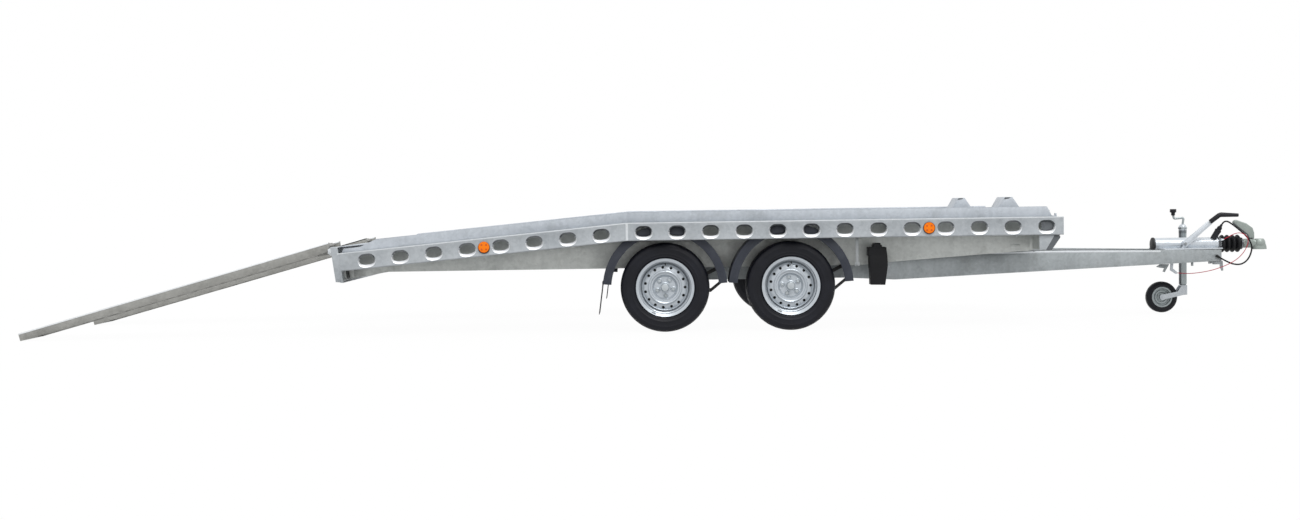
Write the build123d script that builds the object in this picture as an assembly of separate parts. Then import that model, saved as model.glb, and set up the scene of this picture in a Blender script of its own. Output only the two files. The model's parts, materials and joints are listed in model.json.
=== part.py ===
"""Twin-axle car transporter trailer with a bent, open deck and two loading ramps.

Millimetres. +X is forward (towards the coupling), +Y is left, +Z is up.
Stations along the trailer are measured from the point midway between the two axles
and moved to the model's origin, under the middle of the whole outline, on saving.
"""
from build123d import *
from math import atan2, cos, degrees, hypot, pi, radians, sin, sqrt, tan
import os

os.makedirs("parts", exist_ok=True)

# ---------------------------------------------------------------- driving dimensions
# wheels and axles
WHEELBASE = 840.0
TYRE_R = 298.0
TYRE_W = 185.0
WHEEL_Y = 922.5
BEAD_R = 178.0
FLANGE_R = 194.5
RIM_WALL = 4.0
RIM_HALF_W = 76.0
DISC_OFFSET = 30.0
DRUM_R = 122.0
STUB_R = 20.0
RUN_CLEARANCE = 0.5
AXLE_TUBE = 80.0
AXLE_WALL = 5.0
AXLE_BOTTOM = 255.0
ARM_REACH = 150.0
ARM_T = 30.0
ARM_PROUD = 2.0
BACKPLATE_T = 6.0
DRUM_GAP = 4.0
DRUM_W = 62.0
VENTS = 15
VENT_R = 9.5
VENT_RING_R = 134.0
# deck
HALF_WIDTH = 1075.0
RAIL_BOTTOM = 614.0
RAIL_H = 120.0
RAIL_WALL = 4.0
RAIL_TOP_FLANGE = 75.0
RAIL_LIP = 25.0
DECK_FRONT = 2223.0
KNUCKLE = -668.0
DECK_REAR = -2607.0
RUNWAY_FRONT = 2185.0
REAR_SLOPE = 5.2
DECK_RISE = 40.0
RAIL_BEND = 7.0
KERB_H = 69.0
KERB_TOP_W = 14.0
KERB_WALL = 3.0
RUNWAY_INNER_Y = 380.0
PAN_WALL = 3.0
# flared holes in the side rails
HOLE_PITCH = 222.3
FRONT_HOLES = 13
REAR_HOLES = 8
HOLE_FIRST_FRONT = -558.0
HOLE_LAST_REAR = -838.0
HOLE_OUTER = (118.0, 90.0)
HOLE_INNER = (99.0, 68.0)
FLARE_DEPTH = 15.0
HOLE_ABOVE_LIP = 54.0
# frame under the deck
BEAM_OUTER_Y = 800.0
BEAM_FLANGE = 60.0
BEAM_WALL = 4.0
BEAM_BOTTOM = 423.0
REAR_PLATE_TOP = 604.0
REAR_PLATE_BOTTOM = 365.0
REAR_PLATE_LEAN = 36.0
REAR_PLATE_DEPTH = 20.0
REAR_PLATE_WALL = 4.0
REAR_PLATE_BEND = 7.0
FRONT_BEAM_WALL = 4.0
FRONT_BEAM_BEND = 8.0
# drawbar
DRAWBAR_REAR = -680.0
DRAWBAR_KINK = 1153.0
DRAWBAR_NOSE = 3610.0
DRAWBAR_NOSE_Y = 80.0
DRAWBAR_WALL = 5.0
DRAWBAR_FLANGE = 55.0
# overrun coupling
HOUSING_REAR = 3143.0
HOUSING_FRONT = 3625.0
HOUSING_R = 48.0
HOUSING_Z = 508.0
DRAW_TUBE_R = 25.0
BELLOWS_R = 64.0
BELLOWS_FRONT = 3783.0
BALL_X = 3908.0
BALL_R = 25.2
SOCKET_WALL = 12.8
SOCKET_LIP = 44.0
NOSE = 3964.0
COUPLING_NECK_R = 33.0
# jockey wheel
JOCKEY_X = 3421.0
JOCKEY_Y = 205.0
JOCKEY_TUBE_R = 28.0
JOCKEY_TUBE_BOTTOM = 208.0
JOCKEY_TUBE_TOP = 625.0
JOCKEY_WHEEL_R = 114.0
JOCKEY_TRAIL = 160.0
JOCKEY_TYRE_W = 60.0
JOCKEY_RIM_R = 76.0
# ramps
RAMP_TOE = -4750.0
RAMP_HEAD_X = -2668.0
RAMP_HEAD_Z = 630.0
RAMP_OUTER_Y = 950.0
RAMP_W = 420.0
RAMP_RAIL_H = 50.0
RAMP_HEAD_H = 58.0
BAR_X = -2650.0
BAR_Z = 572.0
BAR_R = 12.5
# mudguards
GUARD_R = 415.0
GUARD_WALL = 3.5
GUARD_LIP = 57.0
GUARD_OUTER_Y = 1035.0
GUARD_END = 4.0
FLAP_GROUND_GAP = 126.0

SEAT_GAP = 0.3
RAMP_REACH = RAMP_HEAD_X - RAMP_TOE
RAMP_LENGTH = sqrt(RAMP_REACH**2 + RAMP_HEAD_Z**2 - RAMP_RAIL_H**2)
RAMP_SLOPE = atan2(RAMP_HEAD_Z, RAMP_REACH) - atan2(RAMP_RAIL_H, RAMP_LENGTH)
RAMP_BACK = RAMP_TOE - RAMP_RAIL_H * sin(RAMP_SLOPE)
ORIGIN_SHIFT = -(RAMP_BACK + NOSE) / 2.0
DECK_LINE = RAIL_BOTTOM + RAIL_H
DECK_TOP = DECK_LINE + DECK_RISE
KERB_Y = HALF_WIDTH - RAIL_TOP_FLANGE
ARM_OUTER_Y = BEAM_OUTER_Y + ARM_PROUD
ARM_INNER_Y = ARM_OUTER_Y - ARM_T
SLOPE = tan(radians(REAR_SLOPE))
AXLE_X = {"front": WHEELBASE / 2.0, "rear": -WHEELBASE / 2.0}
SIDES = {"left": 1.0, "right": -1.0}


# ---------------------------------------------------------------- helpers
def drop(x):
    """How far the bent deck lies below its flat front part at a station."""
    return max(0.0, KNUCKLE - x) * SLOPE


def box(x0, x1, y0, y1, z0, z1):
    """A block between two corners."""
    return Pos((x0 + x1) / 2, (y0 + y1) / 2, (z0 + z1) / 2) * Box(x1 - x0, y1 - y0, z1 - z0)


def side_prism(points, y0, y1, bend=0.0):
    """A prism whose outline is drawn in the side view, with its corners rounded or sharp."""
    face = make_face(Polyline(*[(x, 0, z) for x, z in points], close=True))
    if bend:
        face = fillet(face.vertices(), bend)
    return Pos(0, y0, 0) * extrude(face, amount=y1 - y0, dir=(0, 1, 0))


def plan_prism(points, z0, z1):
    """A prism whose outline is drawn in the plan view."""
    face = make_face(Polyline(*[(x, y, 0) for x, y in points], close=True))
    return Pos(0, 0, z0) * extrude(face, amount=z1 - z0, dir=(0, 0, 1))


def rod_y(x, z, radius, y0, y1):
    """A round bar across the trailer."""
    return Pos(x, (y0 + y1) / 2, z) * Rot(90, 0, 0) * Cylinder(radius, y1 - y0)


def rod_x(y, z, radius, x0, x1):
    """A round bar along the trailer."""
    return Pos((x0 + x1) / 2, y, z) * Rot(0, 90, 0) * Cylinder(radius, x1 - x0)


def post(x, y, radius, z0, z1):
    """An upright round bar."""
    return Pos(x, y, (z0 + z1) / 2) * Cylinder(radius, z1 - z0)


def link(start, end, radius):
    """A round bar between two points."""
    a = Vector(*start)
    b = Vector(*end)
    plane = Plane(origin=a, z_dir=b - a)
    return extrude(plane * Circle(radius), amount=(b - a).length)


def spun_y(points, x, y, z):
    """A ring turned about a line across the trailer; points are (radius, width)."""
    face = make_face(Polyline(*[(r, w, 0) for r, w in points], close=True))
    return Pos(x, y, z) * revolve(face, axis=Axis.Y, revolution_arc=360)


def sided(shape, side):
    """The left-hand shape, or its mirror image on the right."""
    return shape if side == "left" else mirror(shape, about=Plane.XZ)


def save(name, *shapes):
    """Write one node, moved so that the origin lies under the whole outline's middle."""
    solids = []
    for shape in shapes:
        solids += (Pos(ORIGIN_SHIFT, 0, 0) * shape).solids()
    export_step(Compound(solids), f"parts/{name}.step")


def bent(face, corners, radius):
    """A flat section with some of its corners rounded, as a folded sheet has them."""
    near = [v for v in face.vertices() if any(hypot(v.X - a, v.Y - b) < 0.01 for a, b in corners)]
    return fillet(near, radius)


def along_deck(profile, outer=(), inner=(), bend=0.0, wall=0.0):
    """Sweep a section, given as (y, height above the rail's lip), along the bent deck.

    The corners listed as outer and inner are rounded as a sheet's bend is.
    """
    rear = (DECK_REAR, 0, RAIL_BOTTOM - drop(DECK_REAR))
    path = Polyline(rear, (KNUCKLE, 0, RAIL_BOTTOM), (DECK_FRONT, 0, RAIL_BOTTOM))
    heading = (cos(radians(REAR_SLOPE)), 0, sin(radians(REAR_SLOPE)))
    plane = Plane(origin=rear, x_dir=(0, 1, 0), z_dir=heading)
    section = make_face(Polyline(*profile, close=True))
    if bend:
        section = bent(section, outer, bend)
        section = bent(section, inner, bend - wall)
    return sweep(plane * section, path=path, transition=Transition.RIGHT)


def rear_line(z, inset=0.0):
    """Station of the leaning rear plate's back face, or of a line in front of it."""
    lean = (REAR_PLATE_TOP - z) / (REAR_PLATE_TOP - REAR_PLATE_BOTTOM) * REAR_PLATE_LEAN
    return DECK_REAR + lean + inset


def behind(inset):
    """Everything behind a line parallel to the rear plate, as a cutter."""
    low, high = 200.0, 900.0
    points = [(rear_line(low, inset), low), (rear_line(high, inset), high)]
    return side_prism(points + [(-3400, high), (-3400, low)], -1300, 1300)


# ---------------------------------------------------------------- side rails
def hole_frames():
    """Where each flared hole sits on the left rail's outer face."""
    frames = []
    for i in range(FRONT_HOLES):
        x = HOLE_FIRST_FRONT + i * HOLE_PITCH
        frames.append((x, RAIL_BOTTOM + HOLE_ABOVE_LIP, 0.0))
    for i in range(REAR_HOLES):
        x = HOLE_LAST_REAR - i * HOLE_PITCH
        frames.append((x, RAIL_BOTTOM + HOLE_ABOVE_LIP - drop(x), REAR_SLOPE))
    return frames


def flared(x, z, tilt, grow, start, end):
    """The tapering obround of one hole between two depths behind the rail's face."""
    x_dir = (cos(radians(tilt)), 0, sin(radians(tilt)))
    plane = Plane(origin=(x, HALF_WIDTH, z), x_dir=x_dir, z_dir=(0, -1, 0))
    sections = []
    for depth in (start, end):
        share = depth / FLARE_DEPTH
        width = HOLE_OUTER[0] + (HOLE_INNER[0] - HOLE_OUTER[0]) * share + grow
        height = HOLE_OUTER[1] + (HOLE_INNER[1] - HOLE_OUTER[1]) * share + grow
        sections.append(plane.offset(depth) * SlotOverall(width, height))
    return loft(sections)


def side_rail():
    """Pressed C-section with a row of flared lashing holes."""
    face = HALF_WIDTH
    inner = face - RAIL_WALL
    tip = face - RAIL_TOP_FLANGE
    lip = face - RAIL_LIP
    profile = [(face, 0), (face, RAIL_H), (tip, RAIL_H), (tip, RAIL_H - RAIL_WALL)]
    profile += [(inner, RAIL_H - RAIL_WALL), (inner, RAIL_WALL), (lip, RAIL_WALL), (lip, 0)]
    outer = [(face, 0), (face, RAIL_H)]
    inside = [(inner, RAIL_WALL), (inner, RAIL_H - RAIL_WALL)]
    rail = along_deck(profile, outer, inside, RAIL_BEND, RAIL_WALL) - behind(REAR_PLATE_DEPTH)
    flares = [flared(x, z, t, 6.0, RAIL_WALL / 2, FLARE_DEPTH) for x, z, t in hole_frames()]
    cutters = [flared(x, z, t, 0.0, -1.0, FLARE_DEPTH + 1) for x, z, t in hole_frames()]
    return rail.fuse(*flares).cut(*cutters)


# ---------------------------------------------------------------- deck
def runway():
    """Folded deck panel of one wheel track, with three down-turned legs."""
    top = RAIL_H + DECK_RISE
    under = top - PAN_WALL
    leg = PAN_WALL
    a, b, c = RUNWAY_INNER_Y, BEAM_OUTER_Y - 40.0, KERB_Y
    profile = [(a, RAIL_H), (a, top), (c, top), (c, under), (b + leg, under), (b + leg, RAIL_H)]
    profile += [(b, RAIL_H), (b, under), (a + leg, under), (a + leg, RAIL_H)]
    front = box(RUNWAY_FRONT, DECK_FRONT + 1, a - 1, c + 1, DECK_LINE - 1, DECK_TOP + 1)
    return along_deck(profile) - behind(REAR_PLATE_DEPTH) - front


def kerb():
    """Upright edge strip on the rail, with chamfered ends."""
    low, high = RAIL_H, RAIL_H + KERB_H
    tip = KERB_Y + KERB_TOP_W
    profile = [(KERB_Y, low), (KERB_Y, high), (tip, high), (tip, high - KERB_WALL)]
    profile += [(KERB_Y + KERB_WALL, high - KERB_WALL), (KERB_Y + KERB_WALL, low)]
    fold = [(KERB_Y + KERB_WALL, high - KERB_WALL)]
    strip = along_deck(profile, [(KERB_Y, high)], fold, KERB_WALL + 1.5, KERB_WALL)
    base = DECK_LINE
    front = [(2120, base + KERB_H + 1), (2165, base), (2400, base), (2400, base + KERB_H + 1)]
    strip = strip - side_prism(front, 900, 1100)
    fall = drop(-2450)
    step = base + 28 - fall
    rear = [(-2340, base + KERB_H + 1 - drop(-2340)), (-2450, step), (-2560, step - 10)]
    rear += [(-2575, base - drop(-2575) - 2), (-2800, base - 200), (-2800, base + KERB_H)]
    return strip - side_prism(rear, 900, 1100)


def wheel_stop():
    """Folded trapezoid block on the front of one wheel track."""
    z0, z1 = DECK_TOP, DECK_TOP + 95.0
    outer = [(1803, z0), (1973, z0), (1908, z1), (1858, z1)]
    inner = [(1807, z0), (1969, z0), (1904, z1 - 3), (1862, z1 - 3)]
    return side_prism(outer, 710, 960) - side_prism(inner, 713, 957)


# ---------------------------------------------------------------- frame under the deck
def deck_beam():
    """Longitudinal C-section under one side of the deck, tapered at its front."""
    rear_x = rear_line(REAR_PLATE_BOTTOM, REAR_PLATE_DEPTH)
    front_x = 2080.0 - SEAT_GAP

    def outline(shift):
        top = DECK_LINE - shift
        low = BEAM_BOTTOM + shift
        points = [(rear_x - 60, REAR_PLATE_BOTTOM + 6 + shift), (-2292, low), (920, low)]
        points += [(1159, 443 + shift), (front_x, 506 + shift), (front_x, top)]
        return points + [(KNUCKLE, top), (rear_x - 60, top - drop(rear_x - 60))]

    inner_y = BEAM_OUTER_Y - BEAM_FLANGE
    beam = side_prism(outline(0), inner_y, BEAM_OUTER_Y)
    hollow = side_prism(outline(BEAM_WALL), inner_y - 1, BEAM_OUTER_Y - BEAM_WALL)
    return beam - hollow - behind(REAR_PLATE_DEPTH)


def cross_member(x):
    """Channel between the two deck beams, square to the deck."""
    half = BEAM_OUTER_Y - BEAM_FLANGE
    channel = box(-25, 25, -half, half, -80, 0) - box(-30, 21, -half - 1, half + 1, -76, -4)
    tilt = -REAR_SLOPE if x < KNUCKLE else 0.0
    return Pos(x, 0, DECK_LINE - drop(x)) * Rot(0, tilt, 0) * channel


def outrigger(x):
    """Bracket from the deck beam to the side rail."""
    inner = HALF_WIDTH - RAIL_WALL
    tilt = -REAR_SLOPE if x < KNUCKLE else 0.0
    top = -RAIL_WALL
    clear = RAIL_BEND - RAIL_WALL
    web = [(BEAM_OUTER_Y, top), (inner - clear, top), (inner, top - clear), (inner, top - 60)]
    web.append((BEAM_OUTER_Y, top - 105))
    face = make_face(Polyline(*[(0, y, z) for y, z in web], close=True))
    plate = Pos(-2, 0, 0) * extrude(face, amount=4, dir=(1, 0, 0))
    flange = box(-20, 20, BEAM_OUTER_Y, inner - clear, top - 4, top)
    return Pos(x, 0, DECK_LINE - drop(x)) * Rot(0, tilt, 0) * (plate + flange)


def front_beam():
    """Folded front cross beam with a sloping lower face and two feet on the drawbar."""
    z_low = 512.0
    t = FRONT_BEAM_WALL
    outer = [(2080, z_low), (2135, z_low), (2205, RAIL_BOTTOM), (2205, DECK_LINE), (2080, DECK_LINE)]
    inner = [(2080 + t, z_low + t), (2133, z_low + t), (2205 - t, RAIL_BOTTOM + 1)]
    inner += [(2205 - t, DECK_LINE - 2 * t), (2080 + t, DECK_LINE - 2 * t)]
    half = HALF_WIDTH - RAIL_LIP
    skin = side_prism(outer, -half, half, FRONT_BEAM_BEND)
    beam = skin - side_prism(inner, -half + t, half - t, FRONT_BEAM_BEND - t)
    corner = box(2000, 2300, half - 60, half + 60, DECK_LINE - RAIL_WALL - 1, DECK_LINE + 1)
    beam = beam - corner - mirror(corner, about=Plane.XZ)
    foot_y = drawbar_face_y(2107) - DRAWBAR_FLANGE / 2
    foot = box(2085, 2130, foot_y - 22, foot_y + 22, drawbar_top(2085), z_low)
    return beam + foot + mirror(foot, about=Plane.XZ)


def rear_plate():
    """Leaning rear panel with folded edges and two lamp cut-outs."""
    top, low = REAR_PLATE_TOP, REAR_PLATE_BOTTOM
    depth, wall = REAR_PLATE_DEPTH, REAR_PLATE_WALL
    outer = [(rear_line(top), top), (rear_line(low), low), (rear_line(low, depth), low)]
    outer += [(rear_line(top, depth), top)]
    inner = [(rear_line(top, wall), top - wall), (rear_line(low, wall), low + wall)]
    inner += [(rear_line(low, depth + 1), low + wall), (rear_line(top, depth + 1), top - wall)]
    half = HALF_WIDTH
    skin = side_prism(outer, -half, half)
    skin = fillet(skin.faces().sort_by(Axis.X)[0].edges(), REAR_PLATE_BEND)
    hollow = side_prism(inner, -half + wall, half - wall)
    hollow = fillet(hollow.faces().sort_by(Axis.X)[0].edges(), REAR_PLATE_BEND - wall)
    tray = skin - hollow
    for sign in SIDES.values():
        y0, y1 = sorted((sign * LAMP_Y[0], sign * LAMP_Y[1]))
        tray = tray - box(-2700, -2500, y0, y1, LAMP_Z[0], LAMP_Z[1])
    return tray


LAMP_Y = (700.0, 925.0)
LAMP_Z = (385.0, 480.0)


def rear_lamp():
    """Rear lamp block set through the rear plate."""
    y0, y1 = LAMP_Y[0] + SEAT_GAP, LAMP_Y[1] - SEAT_GAP
    z0, z1 = LAMP_Z[0] + SEAT_GAP, LAMP_Z[1] - SEAT_GAP
    points = [(rear_line(z0, -8), z0), (rear_line(z1, -8), z1)]
    depth = REAR_PLATE_DEPTH - 1.0
    points += [(rear_line(z1, depth), z1), (rear_line(z0, depth), z0)]
    return side_prism(points, y0, y1)


def number_plate():
    """Blank plate on the middle of the rear panel."""
    z0, z1 = 378.0, 490.0
    points = [(rear_line(z0, -4), z0), (rear_line(z1, -4), z1), (rear_line(z1), z1)]
    return side_prism(points + [(rear_line(z0), z0)], -260, 260)


def ramp_bar():
    """Round bar behind the rear panel that the ramps hook on, with its lugs."""
    bar = rod_y(BAR_X, BAR_Z, BAR_R, -985, 985)
    lugs = []
    for y in (-970.0, -505.0, 0.0, 505.0, 970.0):
        z0, z1 = BAR_Z - 30, BAR_Z + 24
        points = [(BAR_X - 20, BAR_Z - 14), (BAR_X - 20, BAR_Z + 14), (BAR_X, z1)]
        points += [(rear_line(z1), z1), (rear_line(z0), z0), (BAR_X, z0)]
        lugs.append(side_prism(points, y - 5, y + 5))
    return bar.fuse(*lugs)


# ---------------------------------------------------------------- drawbar
def drawbar_top(x):
    """Height of a drawbar beam's top at a station."""
    line = [(DRAWBAR_REAR, 500.0), (DRAWBAR_KINK, 500.0), (2420.0, 484.0), (3000.0, 474.0)]
    line.append((DRAWBAR_NOSE + 100, 466.0))
    for (xa, za), (xb, zb) in zip(line, line[1:]):
        if x <= xb:
            return za + (zb - za) * (x - xa) / (xb - xa)
    return line[-1][1]


def drawbar_face_y(x):
    """Half distance between the drawbar beams' outer faces at a station."""
    wide = BEAM_OUTER_Y - BEAM_FLANGE - SEAT_GAP
    if x <= DRAWBAR_KINK:
        return wide
    share = (x - DRAWBAR_KINK) / (DRAWBAR_NOSE - DRAWBAR_KINK)
    return wide + (DRAWBAR_NOSE_Y - wide) * share


def drawbar_beam():
    """C-section drawbar beam: parallel at the axles, then kinked inwards and tapered."""
    face = drawbar_face_y(0)
    run = hypot(DRAWBAR_NOSE - DRAWBAR_KINK, face - DRAWBAR_NOSE_Y)
    stretch = run / (DRAWBAR_NOSE - DRAWBAR_KINK)

    def channel(top, bottom):
        outer = bottom + top[::-1]
        inner = [(x, z + DRAWBAR_WALL) for x, z in bottom]
        inner += [(x, z - DRAWBAR_WALL) for x, z in top[::-1]]
        solid = side_prism(outer, -DRAWBAR_FLANGE, 0)
        return solid - side_prism(inner, -DRAWBAR_FLANGE - 1, -DRAWBAR_WALL)

    rear_top = [(DRAWBAR_REAR, 500.0), (DRAWBAR_KINK, 500.0)]
    rear_low = [(DRAWBAR_REAR, 335.0), (800.0, 335.0), (DRAWBAR_KINK, 317.0)]
    rear = Pos(0, face, 0) * channel(rear_top, rear_low)
    tops = [(x, drawbar_top(x)) for x in (DRAWBAR_KINK, 2420.0, 3000.0, DRAWBAR_NOSE)]
    lows = [(DRAWBAR_KINK, 317.0), (1390.0, 322.0), (2280.0, 344.0), (2890.0, 366.0)]
    lows.append((DRAWBAR_NOSE, 386.0))
    local_top = [((x - DRAWBAR_KINK) * stretch, z) for x, z in tops]
    local_low = [((x - DRAWBAR_KINK) * stretch, z) for x, z in lows]
    turn = degrees(atan2(DRAWBAR_NOSE_Y - face, DRAWBAR_NOSE - DRAWBAR_KINK))
    front = Pos(DRAWBAR_KINK, face, 0) * Rot(0, 0, turn) * channel(local_top, local_low)
    return rear + front


# ---------------------------------------------------------------- axles and wheels
def axle(x):
    """Square torsion tube under the drawbar beams, with a trailing arm and stub at each end."""
    tube_x = x + ARM_REACH
    low, high = AXLE_BOTTOM, AXLE_BOTTOM + AXLE_TUBE
    half, t = AXLE_TUBE / 2.0, AXLE_WALL
    z_mid = low + half
    tube = box(tube_x - half, tube_x + half, -ARM_INNER_Y, ARM_INNER_Y, low, high)
    end = ARM_INNER_Y - 2 * t
    tube = tube - box(tube_x - half + t, tube_x + half - t, -end, end, low + t, high - t)
    parts = []
    for sign in SIDES.values():
        y0, y1 = sorted((sign * ARM_INNER_Y, sign * ARM_OUTER_Y))
        boss = rod_y(tube_x, z_mid, half, y0, y1)
        hub_end = rod_y(x, TYRE_R, 34, y0, y1)
        bar = [(tube_x, z_mid - 30), (tube_x, z_mid + 30), (x, TYRE_R + 26), (x, TYRE_R - 26)]
        ya, yb = sorted((sign * (ARM_OUTER_Y - 2), sign * (WHEEL_Y + 20)))
        stub = rod_y(x, TYRE_R, STUB_R, ya, yb)
        parts += [boss, hub_end, side_prism(bar, y0, y1), stub]
    return tube.fuse(*parts)


def brake_plate(x, sign):
    """Round brake backplate, fixed on the trailing arm."""
    y0, y1 = sorted((sign * ARM_OUTER_Y, sign * (ARM_OUTER_Y + BACKPLATE_T)))
    inner = rod_y(x, TYRE_R, STUB_R + SEAT_GAP, y0 - 1, y1 + 1)
    return rod_y(x, TYRE_R, DRUM_R + 6, y0, y1) - inner


def tyre(x, sign):
    """Tyre as an open carcass seated on the rim."""
    r, w = TYRE_R, TYRE_W / 2.0
    seat = BEAD_R
    belly = FLANGE_R + 0.44 * (r - FLANGE_R)
    half = [(seat, 64), (seat + 16, 79), (FLANGE_R + 14, w - 4.5), (belly, w), (r - 30, w - 3)]
    half += [(r - 12, w - 12), (r - 3, w - 26.5), (r, w - 52.5)]
    lining = [(seat, 50), (seat + 14, 62), (belly, w - 12), (r - 32, w - 16), (r - 14, w - 34.5)]
    outline = half + [(a, -b) for a, b in half[::-1]]
    outline += [(a, -b) for a, b in lining] + [(r - 12, 0)] + lining[::-1]
    return spun_y(outline, x, sign * WHEEL_Y, TYRE_R)


def rim(x, sign):
    """Pressed steel rim and disc with a ring of round vents."""
    t = RIM_WALL
    seat = BEAD_R - SEAT_GAP
    well = seat - 22
    h = RIM_HALF_W
    shell = [(FLANGE_R, -h - 12), (FLANGE_R, -h - 8), (seat + 2, -h - 3), (seat, -h + 4)]
    shell += [(seat, -40), (well, -28), (well, 22), (seat, 36), (seat, h - 4), (seat + 2, h + 3)]
    shell += [(FLANGE_R, h + 8), (FLANGE_R, h + 12), (seat - 2, h + 4), (seat - t, h - 4)]
    shell += [(seat - t, 38), (well - t, 24), (well - t, -30), (seat - t, -42)]
    shell += [(seat - t, -h + 4), (seat - 2, -h - 4)]
    barrel = spun_y(shell, 0, 0, 0)
    o = DISC_OFFSET
    disc = [(28, o), (72, o), (86, o + 16), (118, o + 18), (150, o + 4), (well - 2, 2)]
    disc += [(well - 2, -4), (148, o - 2), (116, o + 12), (88, o + 10), (75, o - 5), (28, o - 5)]
    plate = spun_y(disc, 0, 0, 0)
    vents = []
    for i in range(VENTS):
        spin = Rot(0, i * 360.0 / VENTS, 0)
        vents.append(spin * Pos(VENT_RING_R, o + 8, 0) * Rot(90, 0, 0) * Cylinder(VENT_R, 60))
    wheel = barrel.fuse(plate).cut(*vents)
    if sign < 0:
        wheel = mirror(wheel, about=Plane.XZ)
    return Pos(x, sign * WHEEL_Y, TYRE_R) * wheel


def hub(x, sign):
    """Brake drum, wheel flange and bearing cap, running on the stub axle."""
    face = DISC_OFFSET - 5.0
    back = ARM_OUTER_Y + BACKPLATE_T + DRUM_GAP - WHEEL_Y
    bore = STUB_R + RUN_CLEARANCE
    drum = [(bore, back + 12), (DRUM_R - 12, back + 12), (DRUM_R - 12, back), (DRUM_R, back)]
    drum += [(DRUM_R, back + DRUM_W), (70, back + DRUM_W + 4), (70, face - SEAT_GAP)]
    drum += [(27, face - SEAT_GAP)]
    drum += [(27, face + 42), (22, face + 48), (0, face + 48), (0, 25), (bore, 25)]
    solid = spun_y(drum, 0, 0, 0)
    if sign < 0:
        solid = mirror(solid, about=Plane.XZ)
    return Pos(x, sign * WHEEL_Y, TYRE_R) * solid


def mudguard(x):
    """Moulded arch with a down-turned outer lip, left-hand side."""
    r, t = GUARD_R, GUARD_WALL
    y0, y1 = BEAM_OUTER_Y + SEAT_GAP, GUARD_OUTER_Y
    section = [(r, y0), (r, y1), (r - GUARD_LIP, y1), (r - GUARD_LIP, y1 - t), (r - t, y1 - t)]
    section += [(r - t, y0)]
    face = make_face(Polyline(*[(a, b, 0) for a, b in section], close=True))
    face = Rot(0, -GUARD_END, 0) * face
    arch = revolve(face, axis=Axis.Y.reverse(), revolution_arc=180 - 2 * GUARD_END)
    return Pos(x, 0, TYRE_R) * arch


def mudflap():
    """Rubber flap behind the rear wheel."""
    x = AXLE_X["rear"] - GUARD_R * cos(radians(GUARD_END)) - SEAT_GAP
    high, low, foot = TYRE_R + 47, TYRE_R + 22, FLAP_GROUND_GAP
    outline = [(x, high), (x, low), (x - 26, foot), (x - 30, foot), (x - 4, low), (x - 4, high)]
    return side_prism(outline, BEAM_OUTER_Y + 12, GUARD_OUTER_Y - 8)


def guard_stay(x):
    """Forked flat stay from the axle's arm to the front end of a left mudguard."""
    y0 = ARM_OUTER_Y + 1.0
    boss_x = x + ARM_REACH
    reach = GUARD_R - GUARD_WALL - SEAT_GAP
    low_z, high_z = 36.0, 122.0
    low_x = x + sqrt(reach**2 - low_z**2)
    high_x = x + sqrt(reach**2 - high_z**2)
    outline = [(boss_x + 20, TYRE_R - 22), (boss_x + 70, TYRE_R - 38), (low_x - 98, TYRE_R - 44)]
    outline += [(low_x, TYRE_R + low_z), (low_x - 4, TYRE_R + low_z + 22)]
    outline += [(low_x - 98, TYRE_R - 18), (boss_x + 100, TYRE_R - 14), (boss_x + 130, TYRE_R + 66)]
    outline += [(high_x, TYRE_R + high_z), (high_x - 9, TYRE_R + high_z + 22)]
    outline += [(boss_x + 112, TYRE_R + 84), (boss_x + 66, TYRE_R + 20), (boss_x + 20, TYRE_R + 22)]
    return side_prism(outline, y0, y0 + 5)


# ---------------------------------------------------------------- side fittings
def side_lamps():
    """Two round amber lamps on the left rail."""
    lamps = []
    for x in (HOLE_LAST_REAR - 3.5 * HOLE_PITCH, HOLE_FIRST_FRONT + 8.5 * HOLE_PITCH):
        z = RAIL_BOTTOM + 57 - drop(x)
        lamps.append(rod_y(x, z, 40, HALF_WIDTH, HALF_WIDTH + 9))
    return lamps


CHOCK_Y = 884.0


def chock_holder():
    """Folded bracket on the left deck beam that the wheel chock hangs on."""
    arm = box(985, 1035, BEAM_OUTER_Y, CHOCK_Y, 500, 504)
    plate = box(975, 1045, CHOCK_Y - 4, CHOCK_Y, 330, 560)
    return arm + plate


def chock():
    """Moulded wheel chock hung upright, hollow face to the rear."""
    outline = [(956, 295), (1054, 293), (1072, 420), (1070, 486), (1062, 546), (1027, 549)]
    outline += [(1024, 574), (981, 574), (978, 549), (946, 546), (950, 486), (952, 420)]
    return side_prism(outline, CHOCK_Y + SEAT_GAP, CHOCK_Y + 85)


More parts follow.
